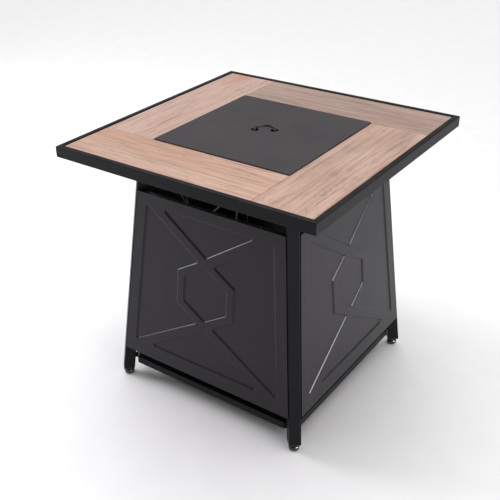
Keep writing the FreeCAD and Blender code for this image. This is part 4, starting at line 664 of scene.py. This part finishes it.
print("one panel screw:", {k: v for k, v in fasteners("panel_screws")[0].items() if k != "turn"})


# %% Small helpers for geometry trees
def geometry_group(name, inputs):
    """An empty geometry tree with a mesh in and out, and named inputs."""
    tree = bpy.data.node_groups.new(name, "GeometryNodeTree")
    tree.interface.new_socket("Geometry", in_out="INPUT", socket_type="NodeSocketGeometry")
    for label, kind in inputs.items():
        tree.interface.new_socket(label, in_out="INPUT", socket_type=kind)
    tree.interface.new_socket("Geometry", in_out="OUTPUT", socket_type="NodeSocketGeometry")
    given = tree.nodes.new("NodeGroupInput").outputs
    return tree, given, tree.nodes.new("NodeGroupOutput").inputs["Geometry"]


def position_parts(tree):
    """The position and its three parts."""
    place = tree.nodes.new("GeometryNodeInputPosition").outputs[0]
    split = add(tree, "ShaderNodeSeparateXYZ", Vector=place).outputs
    return place, split["X"], split["Y"], split["Z"]


def raised_by(tree, mesh, rise):
    """A mesh whose points move along Z by a value."""
    offset = add(tree, "ShaderNodeCombineXYZ", Z=rise).outputs[0]
    return add(tree, "GeometryNodeSetPosition", Geometry=mesh, Offset=offset).outputs[0]


def moved_down(tree, mesh, drop):
    """A mesh or curve moved down Z by a distance."""
    shift = add(tree, "ShaderNodeCombineXYZ", Z=math_node(tree, "MULTIPLY", drop, -1.0)).outputs[0]
    return add(tree, "GeometryNodeTransform", Geometry=mesh, Translation=shift).outputs[0]


# %% The tree that makes a fastener on every point
def fastener_tree():
    tree, given, result = geometry_group("fastener", {
        "Sides": "NodeSocketInt",
        "Radius": VALUE,
        "Head": VALUE,
        "Length": VALUE,
        "Shank": VALUE,
        "Dome": VALUE,
        "Cross": VALUE,
        "Thread": VALUE,
        "Pitch": VALUE,
        "Finish": "NodeSocketMaterial",
    })
    disc = add(tree, "GeometryNodeMeshCylinder", Vertices=given["Sides"], Fill_Segments=6,
               Radius=given["Radius"], Depth=given["Head"]).outputs["Mesh"]
    disc = moved_down(tree, disc, math_node(tree, "DIVIDE", given["Head"], 2.0))
    _, x, y, z = position_parts(tree)
    out = math_node(tree, "SQRT", math_node(tree, "ADD", math_node(tree, "MULTIPLY", x, x),
                                            math_node(tree, "MULTIPLY", y, y)))
    share = math_node(tree, "DIVIDE", out, given["Radius"])
    on_top = math_node(tree, "GREATER_THAN", z, math_node(tree, "MULTIPLY", given["Head"], -0.5))
    fall = math_node(tree, "MULTIPLY", math_node(tree, "MULTIPLY", share, share), given["Dome"])
    from_x, from_y = math_node(tree, "ABSOLUTE", x), math_node(tree, "ABSOLUTE", y)
    near = math_node(tree, "MINIMUM", from_x, from_y)
    in_slot = math_node(tree, "LESS_THAN", near, math_node(tree, "MULTIPLY", given["Radius"], 0.13))
    in_reach = math_node(tree, "LESS_THAN", share, 0.56)
    in_cross = math_node(tree, "MULTIPLY", in_slot, in_reach)
    pressed = math_node(tree, "MULTIPLY", in_cross, given["Cross"])
    drop = math_node(tree, "MULTIPLY", on_top, math_node(tree, "ADD", fall, pressed))
    head = raised_by(tree, disc, math_node(tree, "MULTIPLY", drop, -1.0))

    body_length = math_node(tree, "SUBTRACT", given["Length"], given["Head"])
    core = add(tree, "GeometryNodeMeshCylinder", Vertices=16, Radius=given["Shank"],
               Depth=body_length).outputs["Mesh"]
    middle = math_node(tree, "ADD", given["Head"], math_node(tree, "DIVIDE", body_length, 2.0))
    core = moved_down(tree, core, middle)
    turns = math_node(tree, "DIVIDE", body_length, given["Pitch"])
    helix = add(tree, "GeometryNodeCurveSpiral", Resolution=14, Rotations=turns,
                Start_Radius=given["Shank"], End_Radius=given["Shank"], Height=body_length)
    ridge = add(tree, "GeometryNodeCurvePrimitiveCircle", Resolution=3, Radius=given["Thread"])
    thread = add(tree, "GeometryNodeCurveToMesh", Curve=helix.outputs[0],
                 Profile_Curve=ridge.outputs[0], Fill_Caps=True).outputs[0]
    thread = moved_down(tree, thread, given["Length"])
    whole = tree.nodes.new("GeometryNodeJoinGeometry")
    for part in (head, core, thread):
        link(tree, part, whole.inputs[0])
    turn = tree.nodes.new("GeometryNodeInputNamedAttribute")
    turn.data_type = "QUATERNION"
    turn.inputs["Name"].default_value = "turn"
    copies = add(tree, "GeometryNodeInstanceOnPoints", Points=given["Geometry"],
                 Instance=whole.outputs[0], Rotation=turn.outputs["Attribute"]).outputs[0]
    real = add(tree, "GeometryNodeRealizeInstances", Geometry=copies).outputs[0]
    painted = add(tree, "GeometryNodeSetMaterial", Geometry=real, Material=given["Finish"])
    link(tree, painted.outputs[0], result)
    return tree


FASTENER = fastener_tree()
print("inputs:", [s.name for s in FASTENER.interface.items_tree if s.in_out == "INPUT"])


# %% Set a fastener on every point of a part
BASE_PITCH = 0.0008


def grown(name, points, tree, inputs, attributes=()):
    """Runs a geometry tree on a cloud of points, and gives the plain mesh that it makes."""
    data = bpy.data.meshes.new(name)
    data.from_pydata(points, [], [])
    for label, kind, values in attributes:
        layer = data.attributes.new(label, kind, "POINT")
        field = "vector" if kind == "FLOAT_VECTOR" else "value"
        for item, value in zip(layer.data, values):
            setattr(item, field, value)
    host = new_object(name, data)
    modifier = host.modifiers.new("made", "NODES")
    modifier.node_group = tree
    for item in tree.interface.items_tree:
        if item.in_out == "INPUT" and item.name in inputs:
            modifier[item.identifier] = inputs[item.name]
    made_plain(host)
    for face in host.data.polygons:
        face.material_index = 0
    host.data.materials.clear()
    host.data.materials.append(inputs["Finish"])
    return host


def real_fasteners(part, name, finish, slot, sides=24, dome=0.35, cross=0.0, shank=0.5,
                   thread=0.00025):
    """Replaces a part's plain fasteners; dome is a share of the head's height."""
    found = fasteners(part)
    first = found[0]
    inputs = {
        "Sides": sides, "Radius": first["radius"], "Head": first["head"], "Length": first["length"],
        "Shank": first["radius"] * shank - thread, "Dome": first["head"] * dome, "Cross": cross,
        "Thread": thread, "Pitch": BASE_PITCH + thread, "Finish": finish,
    }
    turns = ("turn", "QUATERNION", [f["turn"] for f in found])
    piece = grown(name, [f["place"] for f in found], FASTENER, inputs, [turns])
    piece.data.attributes.remove(piece.data.attributes["turn"])
    piece.data.shade_smooth()
    piece.data.set_sharp_from_angle(angle=SHARP_ABOVE)
    mounted(piece, "base", slot, part)
    print(part, "->", name, len(found), "of them,", len(piece.data.polygons), "faces")


real_fasteners("panel_screws", "cross_head_panel_screws", BLACK_SCREW, "black_screw",
               cross=0.0009, shank=0.55)
real_fasteners("bowl_screws", "cross_head_bowl_screws", BLACK_SCREW, "black_screw",
               cross=0.0008, shank=0.55)
real_fasteners("rim_rivets", "domed_rim_rivets", BLACK_SCREW, "black_screw",
               dome=0.6, thread=0.00002)
real_fasteners("tray_bolts", "hexagon_tray_bolts", ZINC, "zinc", sides=6, dome=0.22, shank=0.52)
real_fasteners("tabletop_bolts", "hexagon_tabletop_bolts", ZINC, "zinc", sides=6, dome=0.22)

# %% [markdown]
# ## Lava stones
#
# Lava rock is full of burst bubbles, so no two stones share a shape. One tree makes them all: it
# takes a ball, squeezes it to the size of each stone of the working model, and pushes its skin in
# by lumps and by bubbles. They only push inwards, so each stone keeps within its space.

# %% The tree that makes a stone on every point
def stone_tree():
    tree, given, result = geometry_group("lava_stone", {
        "Detail": "NodeSocketInt",
        "Lump": VALUE,
        "Bubble": VALUE,
        "Finish": "NodeSocketMaterial",
    })
    ball = add(tree, "GeometryNodeMeshIcoSphere", Radius=1.0, Subdivisions=given["Detail"])
    extent = tree.nodes.new("GeometryNodeInputNamedAttribute")
    extent.data_type = "FLOAT_VECTOR"
    extent.inputs["Name"].default_value = "extent"
    copies = add(tree, "GeometryNodeInstanceOnPoints", Points=given["Geometry"],
                 Instance=ball.outputs["Mesh"], Scale=extent.outputs["Attribute"]).outputs[0]
    real = add(tree, "GeometryNodeRealizeInstances", Geometry=copies).outputs[0]
    centre = tree.nodes.new("GeometryNodeInputNamedAttribute")
    centre.data_type = "FLOAT_VECTOR"
    centre.inputs["Name"].default_value = "centre"
    place, _, _, _ = position_parts(tree)
    outward = tree.nodes.new("ShaderNodeVectorMath")
    outward.operation = "SUBTRACT"
    link(tree, place, outward.inputs[0])
    link(tree, centre.outputs["Attribute"], outward.inputs[1])
    lumps = add(tree, "ShaderNodeTexNoise", Vector=place, Scale=52.0, Detail=3.0, Roughness=0.6)
    bubbles = add(tree, "ShaderNodeTexVoronoi", Vector=place, Scale=150.0)
    in_lump = spread(tree, lumps.outputs[0], 0.35, 0.65)
    in_bubble = spread(tree, bubbles.outputs["Distance"], 0.5, 0.1)
    dent = math_node(tree, "MULTIPLY", in_lump, given["Lump"])
    pit = math_node(tree, "MULTIPLY", in_bubble, given["Bubble"])
    push = math_node(tree, "MULTIPLY", math_node(tree, "ADD", dent, pit), -1.0)
    pushed = tree.nodes.new("ShaderNodeVectorMath")
    pushed.operation = "SCALE"
    link(tree, outward.outputs[0], pushed.inputs[0])
    link(tree, push, pushed.inputs["Scale"])
    shaped = add(tree, "GeometryNodeSetPosition", Geometry=real, Offset=pushed.outputs[0])
    painted = add(tree, "GeometryNodeSetMaterial", Geometry=shaped.outputs[0],
                  Material=given["Finish"])
    link(tree, painted.outputs[0], result)
    return tree


STONE_TREE = stone_tree()
print("inputs:", [s.name for s in STONE_TREE.interface.items_tree if s.in_out == "INPUT"])


# %% Measure the stones and replace them
def box_of(faces):
    """The middle and half sizes of a loose solid."""
    corners = [v.co for face in faces for v in face.verts]
    least = Vector(min(c[i] for c in corners) for i in range(3))
    most = Vector(max(c[i] for c in corners) for i in range(3))
    return (least + most) / 2, (most - least) / 2


rocks = clean_copy("lava_rocks")
measured = [box_of(faces) for faces in loose_parts(rocks)]
rocks.free()
stone_inputs = {"Detail": 4, "Lump": 0.27, "Bubble": 0.09, "Finish": STONE}
middles = [middle for middle, _ in measured]
stone_values = [
    ("extent", "FLOAT_VECTOR", [half for _, half in measured]),
    ("centre", "FLOAT_VECTOR", middles),
]
stones = grown("lava_stones", middles, STONE_TREE, stone_inputs, stone_values)
for spare in ("extent", "centre"):
    stones.data.attributes.remove(stones.data.attributes[spare])
stones.data.shade_smooth()
mounted(stones, "base", "rock", "lava_rocks")
print("stones:", len(measured), "faces:", len(stones.data.polygons))

# %% [markdown]
# ## Control knob
#
# A moulded knob has ribs round its crown for wet fingers, and a raised pointer on its grip. The
# knob turns round a line along X, so each of its rings is a circle in the YZ plane whose radius
# follows the ribs. The sizes are read from the working model's knob, so it fits the same stem.

# %% Ribbed knob
RIBS = 30
STEPS_ROUND = RIBS * 6
RIB_DEPTH = 0.0007
STEM_BORE = 0.00305
STEM_BORE_DEPTH = 0.0165
CENTRE = 0.0001
SKIRT_START = 0.65
CROWN_SHARE = 0.82
EDGE = 0.0006
GRIP_OUT, GRIP_HALF, GRIP_REACH = 0.004, 0.0035, 0.0125
POINTER_HALF = 0.0006


def knob_rings(x_front, x_back, radius):
    """Stations of place, radius and rib, from the bore round the outside to the front."""
    step = x_front + (x_back - x_front) * SKIRT_START
    crown = radius * CROWN_SHARE
    bore_end = x_back - STEM_BORE_DEPTH
    bore = [(bore_end, CENTRE, 0.0), (bore_end, STEM_BORE, 0.0), (x_back, STEM_BORE, 0.0)]
    skirt = [
        (x_back, radius - EDGE, 0.0),
        (x_back - EDGE, radius, 0.0),
        (step + 0.0020, radius, 0.0),
        (step + EDGE, radius - EDGE, 0.0),
        (step, radius - 0.0020, 0.0),
    ]
    ribbed = [
        (step - 0.0004, crown, 0.0),
        (step - 0.0010, crown, RIB_DEPTH),
        (x_front + 0.0018, crown - 0.0002, RIB_DEPTH),
        (x_front + EDGE, crown - 0.0010, 0.0),
        (x_front, crown - 0.0024, 0.0),
        (x_front, CENTRE, 0.0),
    ]
    return bore + skirt + ribbed


def ring_mesh(name, rings, middle):
    """A closed skin through rings round a line along X."""
    points = []
    for x, radius, rib in rings:
        for i in range(STEPS_ROUND):
            angle = 2 * math.pi * i / STEPS_ROUND
            out = radius - rib * (0.5 + 0.5 * math.cos(RIBS * angle))
            points.append((x, middle.y + out * math.cos(angle), middle.z + out * math.sin(angle)))
    faces = []
    for k in range(len(rings) - 1):
        for i in range(STEPS_ROUND):
            a, b = k * STEPS_ROUND + i, k * STEPS_ROUND + (i + 1) % STEPS_ROUND
            faces.append((a, a + STEPS_ROUND, b + STEPS_ROUND, b))
    last = len(points) - STEPS_ROUND
    faces += [tuple(range(STEPS_ROUND)), tuple(range(last, len(points)))]
    data = bpy.data.meshes.new(name)
    data.from_pydata(points, [], faces)
    return data


def add_bar(mesh, low, high, soft):
    """Adds a bar with softened edges between two corners."""
    made = bmesh.ops.create_cube(mesh, size=1.0)["verts"]
    middle, size = (low + high) / 2, high - low
    for vert in made:
        vert.co = Vector(middle[i] + vert.co[i] * size[i] for i in range(3))
    edges = {edge for vert in made for edge in vert.link_edges}
    bmesh.ops.bevel(mesh, geom=list(edges), offset=soft, segments=3, profile=0.5, affect="EDGES")


# %% Put the knob together
knob_mesh = clean_copy("control_knob")
knob_middle, knob_half = box_of(knob_mesh.faces)
knob_mesh.free()
front = knob_middle.x - knob_half.x
rings = knob_rings(front + GRIP_OUT, knob_middle.x + knob_half.x, knob_half.y)
knob_data = ring_mesh("ribbed_knob", rings, knob_middle)
shaping = bmesh.new()
shaping.from_mesh(knob_data)
reach = Vector((0, GRIP_HALF, GRIP_REACH))
grip_low = Vector((front + 0.0004, knob_middle.y, knob_middle.z)) - reach
grip_high = Vector((front + GRIP_OUT + 0.0005, knob_middle.y, knob_middle.z)) + reach
add_bar(shaping, grip_low, grip_high, 0.0012)
pointer_low = Vector((front, knob_middle.y - POINTER_HALF, knob_middle.z + 0.002))
pointer_top = knob_middle.z + GRIP_REACH - 0.0014
pointer_high = Vector((front + 0.0008, knob_middle.y + POINTER_HALF, pointer_top))
add_bar(shaping, pointer_low, pointer_high, 0.0002)
bmesh.ops.recalc_face_normals(shaping, faces=shaping.faces)
shaping.to_mesh(knob_data)
shaping.free()
knob_data.materials.append(BLACK_PLASTIC)
knob_data.shade_smooth()
knob_data.set_sharp_from_angle(angle=SHARP_ABOVE)
mounted(new_object("ribbed_knob", knob_data), "knob", "black_plastic", "control_knob")
print("knob faces:", len(knob_data.polygons), "sizes:", [round(v, 4) for v in knob_half * 2])
